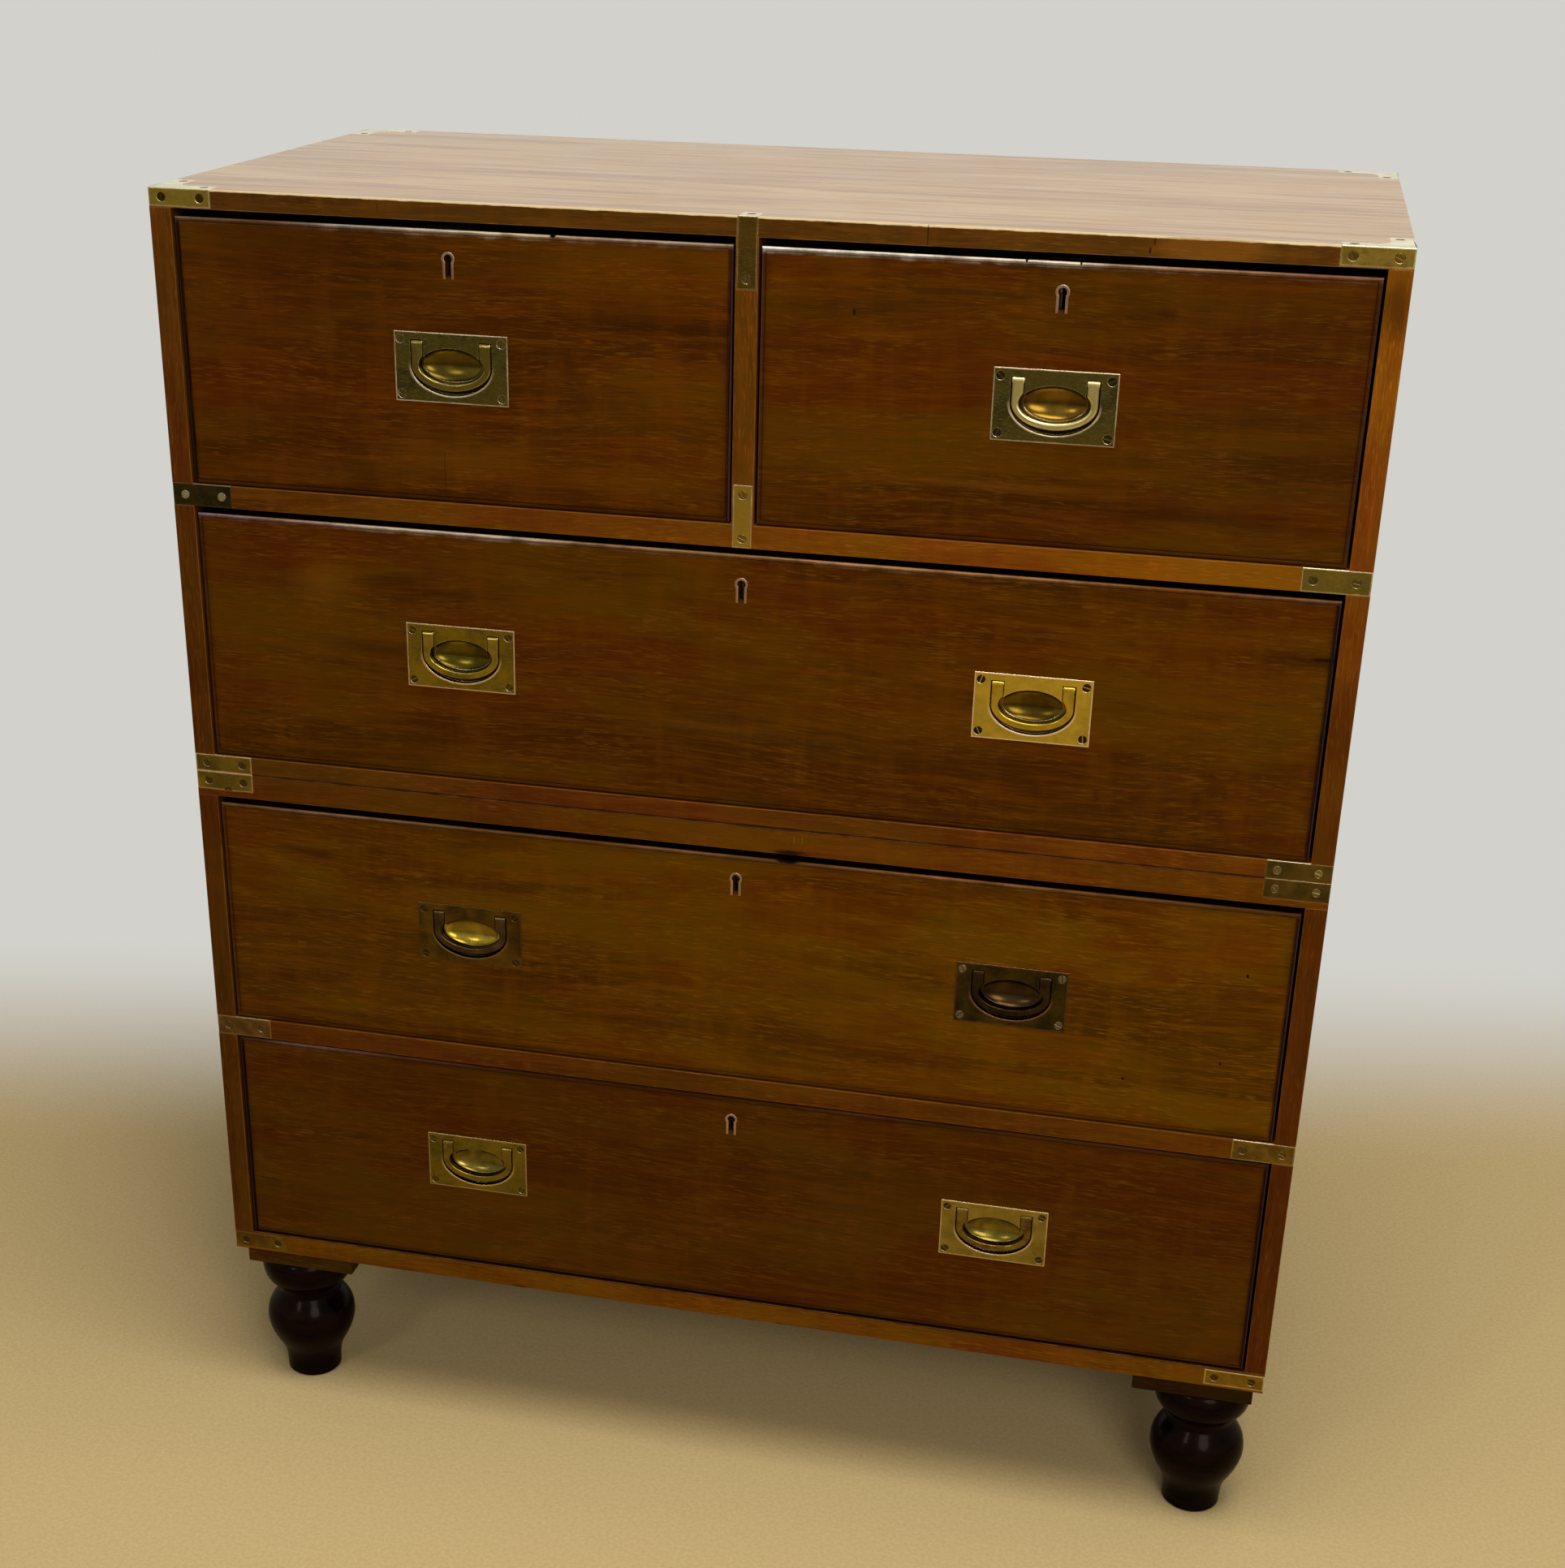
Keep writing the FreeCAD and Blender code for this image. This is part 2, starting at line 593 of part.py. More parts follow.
def build_drawer(row):
    x0, x1 = row["x"] - row["half"], row["x"] + row["half"]
    low, top = row["floor"] + front_under_gap, row["top"]
    run_z = row["floor"] + runner_clear
    side_top = top - drawer_side_drop
    rear_y = back_y - drawer_rear_gap
    panel_z = run_z + bottom_rise
    panel = box(x0 + drawer_side_thick - bottom_groove, x1 - drawer_side_thick + bottom_groove,
                front_back_y - bottom_groove, rear_y, panel_z, panel_z + bottom_thick)
    back = box(x0 + drawer_side_thick - drawer_back_housing, x1 - drawer_side_thick + drawer_back_housing,
               rear_y - drawer_back_thick, rear_y, panel_z + bottom_thick, side_top - drawer_back_drop)
    sides, sockets = [], []
    for outer, inner in ((x0, x0 + drawer_side_thick), (x1, x1 - drawer_side_thick)):
        joints = tails(outer, inner, low, side_top)
        board = box(min(outer, inner), max(outer, inner), front_back_y, rear_y, run_z, side_top)
        sides.append(board.fuse(joints).cut(panel).cut(back).removeSplitter())
        sockets += joints
    front = box(x0, x1, front_y, front_back_y, low, top)
    face_edges = [edge for edge in front.Edges if abs(edge.BoundBox.YMax - front_y) < 0.01]
    front = front.makeFillet(edge_round, face_edges)
    lock, thread, bolt, lock_tools = lock_parts(row["x"], top, top - row["key_drop"])
    handle_z = (low + top) / 2 + row["handle_lift"]
    tools = sockets + [panel, front_trim(x0, x1, low, top)] + lock_tools
    plates = []
    name = row["name"]
    for hand, x in row["hands"]:
        tools.append(moved(pocket, x, front_y, handle_z))
        plates.append(moved(casting, x, front_y, handle_z))
        plates += [screw(at + V(x, front_y, handle_z), inward) for at, inward in plate_screw_spots()]
        bail_name = name if name.endswith(hand) else "%s_%s" % (name, hand)
        save(bail_name + "_bail", [moved(bail, x, front_y, handle_z)])
    save("%s_drawer_front" % name, [cut_all(front, tools).removeSplitter()])
    save("%s_drawer_sides_and_back" % name, sides + [back])
    save("%s_drawer_bottom" % name, [panel])
    save("%s_handle_plates" % name, plates)
    save("%s_lock" % name, [lock, thread])
    save("%s_lock_bolt" % name, [bolt])


# ---- build -----------------------------------------------------------------------------
os.makedirs("parts", exist_ok=True)
casting = make_casting()
bail = make_bail()
pocket = plate_pocket()
rows = drawer_rows()
by_name = {row["name"]: row for row in rows}
for row in rows:
    build_drawer(row)

peg_spots = [(sx * (half_w - peg_inset_x), sy * (half_d - peg_inset_y))
             for sx in (-1, 1) for sy in (-1, 1)]
pegs = [rod(peg_radius, V(x, y, join_z - peg_in_lower), V(0, 0, 1), peg_in_lower + peg_in_upper)
        for x, y in peg_spots]
peg_floor = join_z - peg_in_lower - peg_fit
peg_holes = [rod(peg_radius + peg_fit, V(x, y, peg_floor), V(0, 0, 1), peg_in_lower + 1)
             for x, y in peg_spots]
peg_sockets = [rod(peg_radius + peg_slide_fit, V(x, y, join_z), V(0, 0, 1), peg_in_upper + peg_slide_fit)
               for x, y in peg_spots]
save("locating_pegs", pegs)

lower_pairs = [edge_strap(s, case_z + base_strap_rise, case_z + base_strap_rise + base_strap_height)
               for s in (-1, 1)]
lower_pairs += [edge_strap(s, rail_low, rail_low_top) for s in (-1, 1)]
lower_pairs += [edge_strap(s, join_z - join_strap_height, join_z) for s in (-1, 1)]
lower_solids, lower_tools = finish_straps(lower_pairs)
save("lower_straps", lower_solids)

upper_pairs = [edge_strap(s, join_z, upper_floor) for s in (-1, 1)]
upper_pairs += [edge_strap(s, rail_high, rail_high_top) for s in (-1, 1)]
upper_pairs += [top_corner(s, e) for s in (-1, 1) for e in (-1, 1)] + divider_straps()
upper_solids, upper_tools = finish_straps(upper_pairs)
save("upper_straps", upper_solids)

for side, word in ((-1, "left"), (1, "right")):
    save("lower_%s_side" % word, [side_board(side, lower_floor, lower_ceiling, rail_low, lower_tools)])
    save("upper_%s_side" % word, [side_board(side, upper_floor, upper_ceiling, rail_high, upper_tools)])

save("lower_base_board", [across_board(
    case_z, lower_floor, tongue_pair(lower_floor - tongue_height, lower_floor),
    (lower_floor - back_rebate, lower_floor), lower_tools)])
save("lower_top_board", [across_board(
    lower_ceiling, join_z, tongue_pair(lower_ceiling, lower_ceiling + tongue_height),
    (lower_ceiling, lower_ceiling + back_rebate),
    lower_tools + peg_holes + join_arrises(-1) + [mortise(by_name["third"])])])
save("upper_base_board", [across_board(
    join_z, upper_floor, tongue_pair(upper_floor - tongue_height, upper_floor),
    (upper_floor - back_rebate, upper_floor), upper_tools + peg_sockets + join_arrises(1))])
save("upper_top_board", [across_board(
    upper_ceiling, top_z, tongue_pair(upper_ceiling, upper_ceiling + tongue_height),
    (upper_ceiling, upper_ceiling + back_rebate),
    upper_tools + [mortise(by_name["top_left"]), mortise(by_name["top_right"])])])
save("lower_back_boards", back_boards(lower_floor, lower_ceiling))
save("upper_back_boards", [cut_all(board, upper_tools) for board in back_boards(upper_floor, upper_ceiling)])
save("lower_rail", [rail(rail_low, lower_tools + [mortise(by_name["bottom"])])])
save("upper_rail", [rail(rail_high, upper_tools + [mortise(by_name["second"])])])
half_divider = divider_thick / 2
upright = box(-half_divider, half_divider, -half_d, rail_back_y, rail_high_top, upper_ceiling)
save("divider", [cut_all(upright, upper_tools)])

save("lower_runners_and_stops", side_runners(rail_low) + stops(0, rail_low_top, stop_offset)
     + stops(0, lower_floor, stop_offset))
centre_half = centre_runner_width / 2
centre = box(-centre_half, centre_half, rail_back_y, back_y, rail_high, rail_high_top)
guide = box(-half_divider, half_divider, rail_back_y, back_y, rail_high_top, rail_high_top + guide_height)
short_x = by_name["top_right"]["x"]
save("upper_runners_and_stops", side_runners(rail_high) + [centre, guide]
     + stops(-short_x, rail_high_top, stop_offset) + stops(short_x, rail_high_top, stop_offset)
     + stops(0, upper_floor, stop_offset))

for side, word in ((-1, "left"), (1, "right")):
    for end, where in ((-1, "front"), (1, "back")):
        save("%s_%s_foot" % (where, word), foot_and_block(side, end))
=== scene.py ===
import math

import bpy
from mathutils import Matrix, Vector


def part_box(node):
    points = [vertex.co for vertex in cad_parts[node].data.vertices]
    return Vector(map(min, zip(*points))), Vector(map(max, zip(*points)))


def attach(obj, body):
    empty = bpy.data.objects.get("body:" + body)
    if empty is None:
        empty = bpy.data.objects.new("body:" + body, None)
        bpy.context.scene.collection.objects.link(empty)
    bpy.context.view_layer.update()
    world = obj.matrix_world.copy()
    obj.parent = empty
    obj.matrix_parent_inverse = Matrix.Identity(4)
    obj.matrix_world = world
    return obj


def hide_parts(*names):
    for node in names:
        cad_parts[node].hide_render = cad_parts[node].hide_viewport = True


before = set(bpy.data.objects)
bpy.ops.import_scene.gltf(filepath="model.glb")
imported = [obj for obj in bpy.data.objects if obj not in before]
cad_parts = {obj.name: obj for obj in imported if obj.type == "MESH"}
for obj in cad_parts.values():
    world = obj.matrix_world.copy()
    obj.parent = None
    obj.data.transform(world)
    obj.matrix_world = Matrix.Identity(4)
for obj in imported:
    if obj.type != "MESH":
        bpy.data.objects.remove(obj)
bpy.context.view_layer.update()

# Colours are written as they look, 0 to 255. Lengths are metres.
ROWS = ("top_left", "top_right", "second", "third", "bottom")
HALF_WIDE, HALF_DEEP, TOP = 0.495, 0.2475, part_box("upper_top_board")[1][2]
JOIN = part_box("lower_top_board")[1][2]              # where the upper case stands on the lower
FRONT_FACE = -0.2467                                # y of the marks on the front
STRAP, SHEET = 0.053, 0.0015                        # a strap's arm and thickness
SUNK = 0.0003                                       # screw heads below the brass
SCREW_HOLE = 0.0036

# A handle, measured from the middle of its plate and from the drawer's face.
PLATE_WIDE, PLATE_HIGH = 0.048, 0.028               # half sizes
FACE, BAIL_FACE = -0.0004, -0.0012                  # fronts of the plate and of the drop handle
RISE = 0.0018                                       # middle of the cup and of the handle's round part
CUP_WIDE, CUP_HIGH, CUP_BACK, CUP_DEEP = 0.0262, 0.0141, 0.0019, 0.0086
RECESS_WIDE, RECESS_LOW, RECESS_TOP = 0.0345, 0.0221, 0.0219
BAIL_HALF, BAIL_LOW, BAIL_TOP, BAIL_THICK = 0.0336, 0.0183, 0.0215, 0.0055
PIVOT = (BAIL_FACE + 0.00275, BAIL_TOP - 0.00275)   # y and z of the knuckles
PLATE_SCREWS = [(x, z) for z in (-0.0219, 0.0219) for x in (-0.0426, 0.0426)]


def tint(red, green, blue):
    def linear(value):
        value = value / 255
        return value / 12.92 if value <= 0.04045 else ((value + 0.055) / 1.055) ** 2.4
    return (linear(red), linear(green), linear(blue), 1.0)


def scaled(tone, gain):
    return tuple(channel * gain for channel in tone[:3]) + (1,)


def shades(tone, depth=0.66, height=1.5):
    """Dark, middle and light tones of one wood colour."""
    return tuple(scaled(tint(*tone), gain) for gain in (depth, 1.0, height))


# ---- node building ---------------------------------------------------------------------
class Bench:
    """Adds nodes to one tree, each input joined to a value or to another node's output."""

    def __init__(self, tree):
        self.tree = tree

    def join(self, socket, value):
        if isinstance(value, bpy.types.NodeSocket):
            self.tree.links.new(value, socket)
        else:
            socket.default_value = value

    def node(self, kind, inputs, out=0, **settings):
        made = self.tree.nodes.new(kind)
        for key, value in settings.items():
            setattr(made, key, value)
        for key, value in inputs.items():
            self.join(made.inputs[key], value)
        return made.outputs[out]

    def maths(self, operation, a, b=0.0):
        return self.node("ShaderNodeMath", {0: a, 1: b}, operation=operation)

    def plus(self, a, b):
        return self.maths("ADD", a, b)

    def minus(self, a, b):
        return self.maths("SUBTRACT", a, b)

    def times(self, a, b):
        return self.maths("MULTIPLY", a, b)

    def least(self, a, b):
        return self.maths("MINIMUM", a, b)

    def most(self, a, b):
        return self.maths("MAXIMUM", a, b)

    def vector(self, operation, a, b=(0, 0, 0), out=0):
        return self.node("ShaderNodeVectorMath", {0: a, 1: b}, out=out, operation=operation)

    def ramp(self, value, low, high, to_low=0.0, to_high=1.0):
        """A value's share of the way from low to high, held at the ends and eased between."""
        return self.node("ShaderNodeMapRange", {0: value, 1: low, 2: high, 3: to_low, 4: to_high},
                         interpolation_type="SMOOTHSTEP")

    def blend(self, share, a, b, mode="MIX"):
        return self.node("ShaderNodeMix", {0: share, 6: a, 7: b}, out=2, data_type="RGBA",
                         blend_type=mode)

    def noise(self, place, scale, detail=3.0, rough=0.5, warp=0.0):
        return self.node("ShaderNodeTexNoise", {"Vector": place, "Scale": scale, "Detail": detail,
                                                "Roughness": rough, "Distortion": warp})

    def drawn(self, place, scale, detail=3.0, rough=0.5, warp=0.0, shift=(0, 0, 0)):
        """Noise drawn out by a scale for each axis."""
        spot = self.node("ShaderNodeMapping", {"Vector": place, "Location": shift, "Scale": scale})
        return self.noise(spot, 1.0, detail, rough, warp)

    def waver(self, noise, reach):
        """Swings a noise about zero, for a ragged edge."""
        return self.times(self.minus(noise, 0.5), reach)

    def object_place(self):
        return self.node("ShaderNodeTexCoord", {}, out=3)

    def axis(self, place, out):
        return self.node("ShaderNodeSeparateXYZ", {0: place}, out=out)

    def facing_up(self):
        return self.axis(self.node("ShaderNodeNewGeometry", {}, out=1), 2)

    def use(self, group, inputs, out):
        made = self.tree.nodes.new("ShaderNodeGroup")
        made.node_tree = group
        for key, value in inputs.items():
            self.join(made.inputs[key], value)
        return [made.outputs[name] for name in out] if isinstance(out, tuple) else made.outputs[out]


def effect(name, inputs, outputs, build):
    """A shared effect as a node group: build takes a bench and the inputs, and returns outputs."""
    tree = bpy.data.node_groups.new(name, "ShaderNodeTree")
    for label, (kind, value) in inputs.items():
        tree.interface.new_socket(label, in_out="INPUT", socket_type=kind).default_value = value
    for label, kind in outputs.items():
        tree.interface.new_socket(label, in_out="OUTPUT", socket_type=kind)
    start = tree.nodes.new("NodeGroupInput")
    end = tree.nodes.new("NodeGroupOutput")
    made = build(Bench(tree), start.outputs)
    for label in outputs:
        tree.links.new(made[label], end.inputs[label])
    return tree


FLOAT, VECTOR = "NodeSocketFloat", "NodeSocketVector"
ORIGIN = (VECTOR, (0, 0, 0))


# ---- shared effects --------------------------------------------------------------------
def build_grain(bench, given):
    """Zones, figure, streaks, pores, flecks and mottle of a board whose grain runs along X."""
    place = bench.vector("ADD", given["Place"], given["Seed"])
    bend = bench.drawn(place, (2.6, 7.0, 7.0), 2.0)
    bent = bench.vector("ADD", place, bench.node(
        "ShaderNodeCombineXYZ", {2: bench.waver(bend, 0.035)}))
    figure = bench.drawn(bent, (3.4, 26.0, 26.0), 4.0, 0.55, 0.15)
    zone = bench.drawn(bent, (1.5, 11.0, 11.0), 3.0, 0.5, 0.6, shift=(0.2, 0.5, 0.1))
    streak = bench.drawn(bent, (9.0, 170.0, 170.0), 4.0, 0.62)
    fine = bench.drawn(bent, (26.0, 620.0, 620.0), 3.0, 0.6)
    pore = bench.ramp(bench.drawn(bent, (38.0, 900.0, 900.0), 1.0), 0.60, 0.74)
    strewn = bench.ramp(bench.drawn(place, (12.0, 55.0, 55.0), 3.0, 0.6, shift=(0.6, 0.4, 0.8)), 0.38, 0.62,
                        0.2, 1.0)
    dash = bench.drawn(bent, (75.0, 950.0, 950.0), 1.0, shift=(0.3, 0.1, 0.2))
    fleck = bench.times(bench.ramp(dash, 0.54, 0.68), strewn)
    cross = bench.drawn(place, (42.0, 42.0, 9.0), 3.0, 0.6, 0.3)
    hue = bench.drawn(place, (5.0, 16.0, 16.0), 4.0, 0.62, shift=(0.7, 0.2, 0.9))
    return {"Figure": figure, "Streak": bench.plus(bench.times(streak, 0.55),
                                                   bench.times(fine, 0.45)),
            "Zone": zone, "Pore": pore, "Fleck": fleck, "Cross": cross, "Hue": hue}


def build_spot(bench, given):
    """A soft mask about one place, with a ragged rim."""
    apart = bench.vector("SUBTRACT", given["Place"], given["Middle"])
    shape = bench.vector("DIVIDE", apart, given["Reach"])
    away = bench.vector("LENGTH", shape, out=1)
    rim = bench.noise(bench.vector("MULTIPLY", shape, (2.1, 2.1, 2.1)), 1.3, 3.0, 0.6)
    ragged = bench.waver(rim, given["Ragged"])
    return {"Mask": bench.ramp(bench.plus(away, ragged), 1.0, given["Core"])}


def build_wear(bench, given):
    """Where an edge is rubbed, and a normal that rolls over it."""
    rolled = bench.node("ShaderNodeBevel", {"Radius": given["Radius"]}, samples=4)
    flat = bench.node("ShaderNodeNewGeometry", {}, out=1)
    turn = bench.minus(1.0, bench.vector("DOT_PRODUCT", rolled, flat, out=1))
    patchy = bench.ramp(bench.noise(given["Place"], given["Break scale"], 3.0, 0.6), 0.34, 0.66)
    return {"Edge": bench.ramp(turn, 0.015, 0.16), "Patchy edge":
            bench.times(bench.ramp(turn, 0.01, 0.12), patchy), "Normal": rolled}


def build_tarnish(bench, given):
    """Stains, fine scratches and pits of old brass."""
    place = bench.vector("ADD", given["Place"], given["Seed"])
    cloud = bench.noise(place, 30.0, 3.0, 0.55, 0.3)
    patch = bench.noise(place, 120.0, 3.0, 0.6)
    wipe = bench.drawn(place, (240.0, 900.0, 1900.0), 2.0, 0.6)
    pit = bench.ramp(bench.noise(place, 620.0, 2.0, 0.6), 0.68, 0.80)
    return {"Stain": bench.ramp(bench.plus(bench.times(cloud, 0.65),
                                           bench.times(patch, 0.35)), 0.36, 0.66),
            "Scratch": wipe, "Pit": pit}


GRAIN = effect("wood grain", {"Place": ORIGIN, "Seed": ORIGIN},
               {"Zone": FLOAT, "Figure": FLOAT, "Streak": FLOAT, "Pore": FLOAT, "Fleck": FLOAT,
                "Cross": FLOAT, "Hue": FLOAT}, build_grain)
SPOT = effect("ragged spot", {"Place": ORIGIN, "Middle": ORIGIN,
                              "Reach": (VECTOR, (1, 1, 1)), "Core": (FLOAT, 0.5),
                              "Ragged": (FLOAT, 0.5)}, {"Mask": FLOAT}, build_spot)
WEAR = effect("rubbed edge", {"Place": ORIGIN, "Radius": (FLOAT, 0.001),
                              "Break scale": (FLOAT, 60.0)},
              {"Edge": FLOAT, "Patchy edge": FLOAT, "Normal": VECTOR}, build_wear)
TARNISH = effect("old brass", {"Place": ORIGIN, "Seed": ORIGIN},
                 {"Stain": FLOAT, "Scratch": FLOAT, "Pit": FLOAT}, build_tarnish)


# ---- wood finishes ---------------------------------------------------------------------
def finish_sheet(name, metallic=0.0, specular=0.5, coat=0.0, coat_rough=0.1):
    """A new material with its bench and shader. Plain constants sit on the shader itself."""
    sheet = bpy.data.materials.new(name)
    sheet.use_nodes = True
    shader = sheet.node_tree.nodes["Principled BSDF"]
    for label, value in (("Metallic", metallic), ("Specular IOR Level", specular), ("Coat Weight", coat),
                         ("Coat Roughness", coat_rough)):
        shader.inputs[label].default_value = value
    return sheet, Bench(sheet.node_tree), shader


def surface(bench, shader, colour, roughness, height, strength, distance, **rolled):
    """Joins a finish's colour, roughness and fine relief to its shader."""
    bench.join(shader.inputs["Base Color"], colour)
    bench.join(shader.inputs["Roughness"], roughness)
    bench.join(shader.inputs["Normal"], bench.node(
        "ShaderNodeBump", {"Strength": strength, "Distance": distance, "Height": height, **rolled}))


def grain_place(bench, place, upright):
    """Object place turned so that the grain runs along its X."""
    if not upright:
        return place
    return bench.node("ShaderNodeMapping", {"Vector": place, "Rotation": (0, math.pi / 2, 0)})


def wood(name, dark, middle, light, seed, upright=False, edge=None, rough=0.38, specular=0.02,
         patches=(), bands=(), figure=1.0, mixed=1.0):
    """Polished wood. patches are (middle, reach, core, ragged, colour, strength); bands are
    functions that lay one more colour over the last and return it. mixed is how far its golden
    and ruddy parts differ."""
    sheet, bench, shader = finish_sheet(name, specular=specular, coat_rough=0.22)
    place = bench.object_place()
    zone, shape, streak, pore, fleck, cross, hue = bench.use(
        GRAIN, {"Place": grain_place(bench, place, upright), "Seed": (seed * 3.7, seed * 1.3, seed * 2.9)},
        ("Zone", "Figure", "Streak", "Pore", "Fleck", "Cross", "Hue"))
    golden = (middle[0] * (1 + 0.12 * mixed), middle[1] * (1 + 0.5 * mixed), middle[2] * (1 + 0.1 * mixed), 1)
    ruddy = (middle[0], middle[1] * (1 - 0.24 * mixed), middle[2] * (1 + 0.3 * mixed), 1)
    colour = bench.blend(bench.ramp(hue, 0.37, 0.61), ruddy, golden)
    colour = bench.blend(bench.ramp(zone, 0.50, 0.38, 0.0, 0.62 * figure), colour, dark)
    colour = bench.blend(bench.ramp(shape, 0.52, 0.36, 0.0, 0.7 * figure), colour, dark)
    colour = bench.blend(bench.ramp(streak, 0.45, 0.64, 0.0, 0.65), colour, light)
    colour = bench.blend(bench.ramp(cross, 0.48, 0.66, 0.0, 0.3), colour, light)
    colour = bench.blend(bench.times(pore, 0.28), colour, scaled(dark, 0.5))
    colour = bench.blend(bench.times(fleck, 0.55), colour,
                         (light[0] * 1.3, light[1] * 1.7, light[2] * 2.4 + 0.002, 1))
    rub, bright, rolled = bench.use(WEAR, {"Place": place, "Radius": 0.0012, "Break scale": 45.0},
                                    ("Edge", "Patchy edge", "Normal"))
    for band in bands:
        colour = band(bench, place, colour)
    for middle_at, reach, core, ragged, paint, strength in patches:
        mask = bench.use(SPOT, {"Place": place, "Middle": middle_at, "Reach": reach, "Core": core,
                                "Ragged": ragged}, "Mask")
        colour = bench.blend(bench.times(mask, strength), colour, paint)
    if edge:
        colour = bench.blend(bench.times(bench.plus(bench.times(rub, 0.35), bench.times(bright, 0.5)), 0.8),
                             colour, edge)
    dull = bench.noise(place, 14.0, 3.0, 0.6)
    roughness = bench.plus(bench.ramp(dull, 0.3, 0.7, rough - 0.06, rough + 0.1), bench.times(pore, 0.12))
    height = bench.minus(bench.times(streak, 0.35), pore)
    surface(bench, shader, colour, roughness, height, 0.22, 0.0004, Normal=rolled)
    return sheet


def along(bench, across, stops):
    """A colour that changes along a board: stops are (x, colour) from left to right."""
    colour = tint(*stops[0][1])
    for (x, _), (next_x, paint) in zip(stops, stops[1:]):
        colour = bench.blend(bench.ramp(across, x, next_x), colour, tint(*paint))
    return colour


def lip_wear_and_highlight_band(node, depth, stops, chips):
    """The rubbed arris along a drawer front's top edge, painted paler as a highlight where light catches it,
    and painted shadow on the top face behind it.
    """
    (left, front, _), (right, _, top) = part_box(node)

    def lay(bench, place, colour):
        across, height = bench.axis(place, 0), bench.axis(place, 2)
        paint = along(bench, across, stops)
        behind = bench.minus(bench.axis(place, 1), front)
        wobble = bench.waver(bench.noise(place, 60.0, 3.0, 0.6), depth * 1.3)
        # Painted shadow on the drawer's top face behind the arris, as if shaded by the rail above.
        shaded_top_face = bench.ramp(height, top - 0.0009, top - 0.0002)
        colour = bench.blend(bench.times(shaded_top_face, bench.ramp(behind, 0.0012, 0.0024)), colour,
                             tint(20, 9, 4))
        near_front = bench.ramp(behind, 0.0022, 0.0012)
        gain = bench.ramp(bench.drawn(place, (34.0, 1.0, 1.0), 4.0, 0.65), 0.30, 0.58, 0.45, 1.0)
        # A soft painted highlight that fades down the face below the arris.
        shoulder = bench.times(bench.ramp(bench.plus(height, bench.times(wobble, 3.0)),
                                          top - depth * 3.2, top - depth), near_front)
        colour = bench.blend(bench.times(shoulder, bench.times(gain, 0.25)), colour, paint)
        near = bench.times(bench.ramp(bench.plus(height, wobble), top - depth, top - depth * 0.5), near_front)
        # Painted highlight: a pale line down each side arris.
        side = bench.least(bench.minus(across, left), bench.minus(right, across))
        side = bench.times(bench.ramp(side, 0.0016, 0.0008), bench.times(gain, 0.14))
        colour = bench.blend(side, colour, tint(150, 112, 112))
        # The arris itself: worn wood with a painted highlight, paler where light catches it.
        colour = bench.blend(bench.times(near, gain), colour, paint)
        for middle, half in chips:
            nick = bench.use(SPOT, {"Place": place, "Middle": (middle, front, top),
                                    "Reach": (half, 0.004, 0.0026), "Core": 0.6, "Ragged": 0.8}, "Mask")
            colour = bench.blend(nick, colour, tint(16, 7, 3))
        return colour
    return lay


def shadow_line(node, left_wide, right_wide, low_wide):
    """Painted shade, near black, along a drawer front's sides and lower edge where the gap's shadow falls,
    wider at some than at others.
    """
    (left, _, low), (right, _, _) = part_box(node)

    def lay(bench, place, colour):
        across, height = bench.axis(place, 0), bench.axis(place, 2)
        ragged = bench.waver(bench.noise(place, 40.0, 3.0, 0.6), 0.0016)
        for wide, apart in ((left_wide, bench.minus(across, left)), (right_wide, bench.minus(right, across)),
                            (low_wide, bench.minus(height, low))):
            if wide:
                # Painted shade in a near-black band.
                mask = bench.ramp(bench.plus(apart, ragged), wide + 0.0006, wide - 0.0004, 0.0, 0.94)
                colour = bench.blend(mask, colour, tint(18, 7, 6))
        return colour
    return lay


def seam_and_gap_shade_band(z, half, strength, paint=None):
    """A dark line that runs level along a board: a joint, and on the base board's top edge painted shade in
    the gap under the bottom drawer.
    """
    def lay(bench, place, colour):
        apart = bench.maths("ABSOLUTE", bench.minus(bench.axis(place, 2), z))
        ragged = bench.waver(bench.drawn(place, (50.0, 9.0, 9.0), 3.0, 0.6), half)
        mask = bench.ramp(bench.plus(apart, ragged), half * 1.1, half * 0.6, 0.0, strength)
        return bench.blend(mask, colour, paint or tint(34, 12, 3))
    return lay


def edge_darkening_band(node, reach=0.012):
    """A soft darker band along the edges of a drawer front."""
    low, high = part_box(node)

    def lay(bench, place, colour):
        x, z = bench.axis(place, 0), bench.axis(place, 2)
        side = bench.least(bench.minus(x, low[0]), bench.minus(high[0], x))
        end = bench.least(bench.minus(z, low[2]), bench.minus(high[2], z))
        nearest = bench.least(side, end)
        rough = bench.times(bench.noise(place, 22.0, 3.0, 0.6), reach)
        mask = bench.ramp(bench.plus(nearest, rough), reach * 1.25, reach * 0.55)
        return bench.blend(bench.times(mask, 0.4), colour, tint(40, 17, 2))
    return lay


def tone_and_shade_change(node, axis, begins, ends):
    """A slow change along a board, partly its own tone and partly painted light and shade, brighter where
    more light falls: begins and ends multiply its colour.
    """
    low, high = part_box(node)

    def lay(bench, place, colour):
        share = bench.ramp(bench.axis(place, axis), low[axis], high[axis])
        gain = bench.blend(share, (*begins, 1), (*ends, 1))
        return bench.blend(1.0, colour, gain, "MULTIPLY")
    return lay


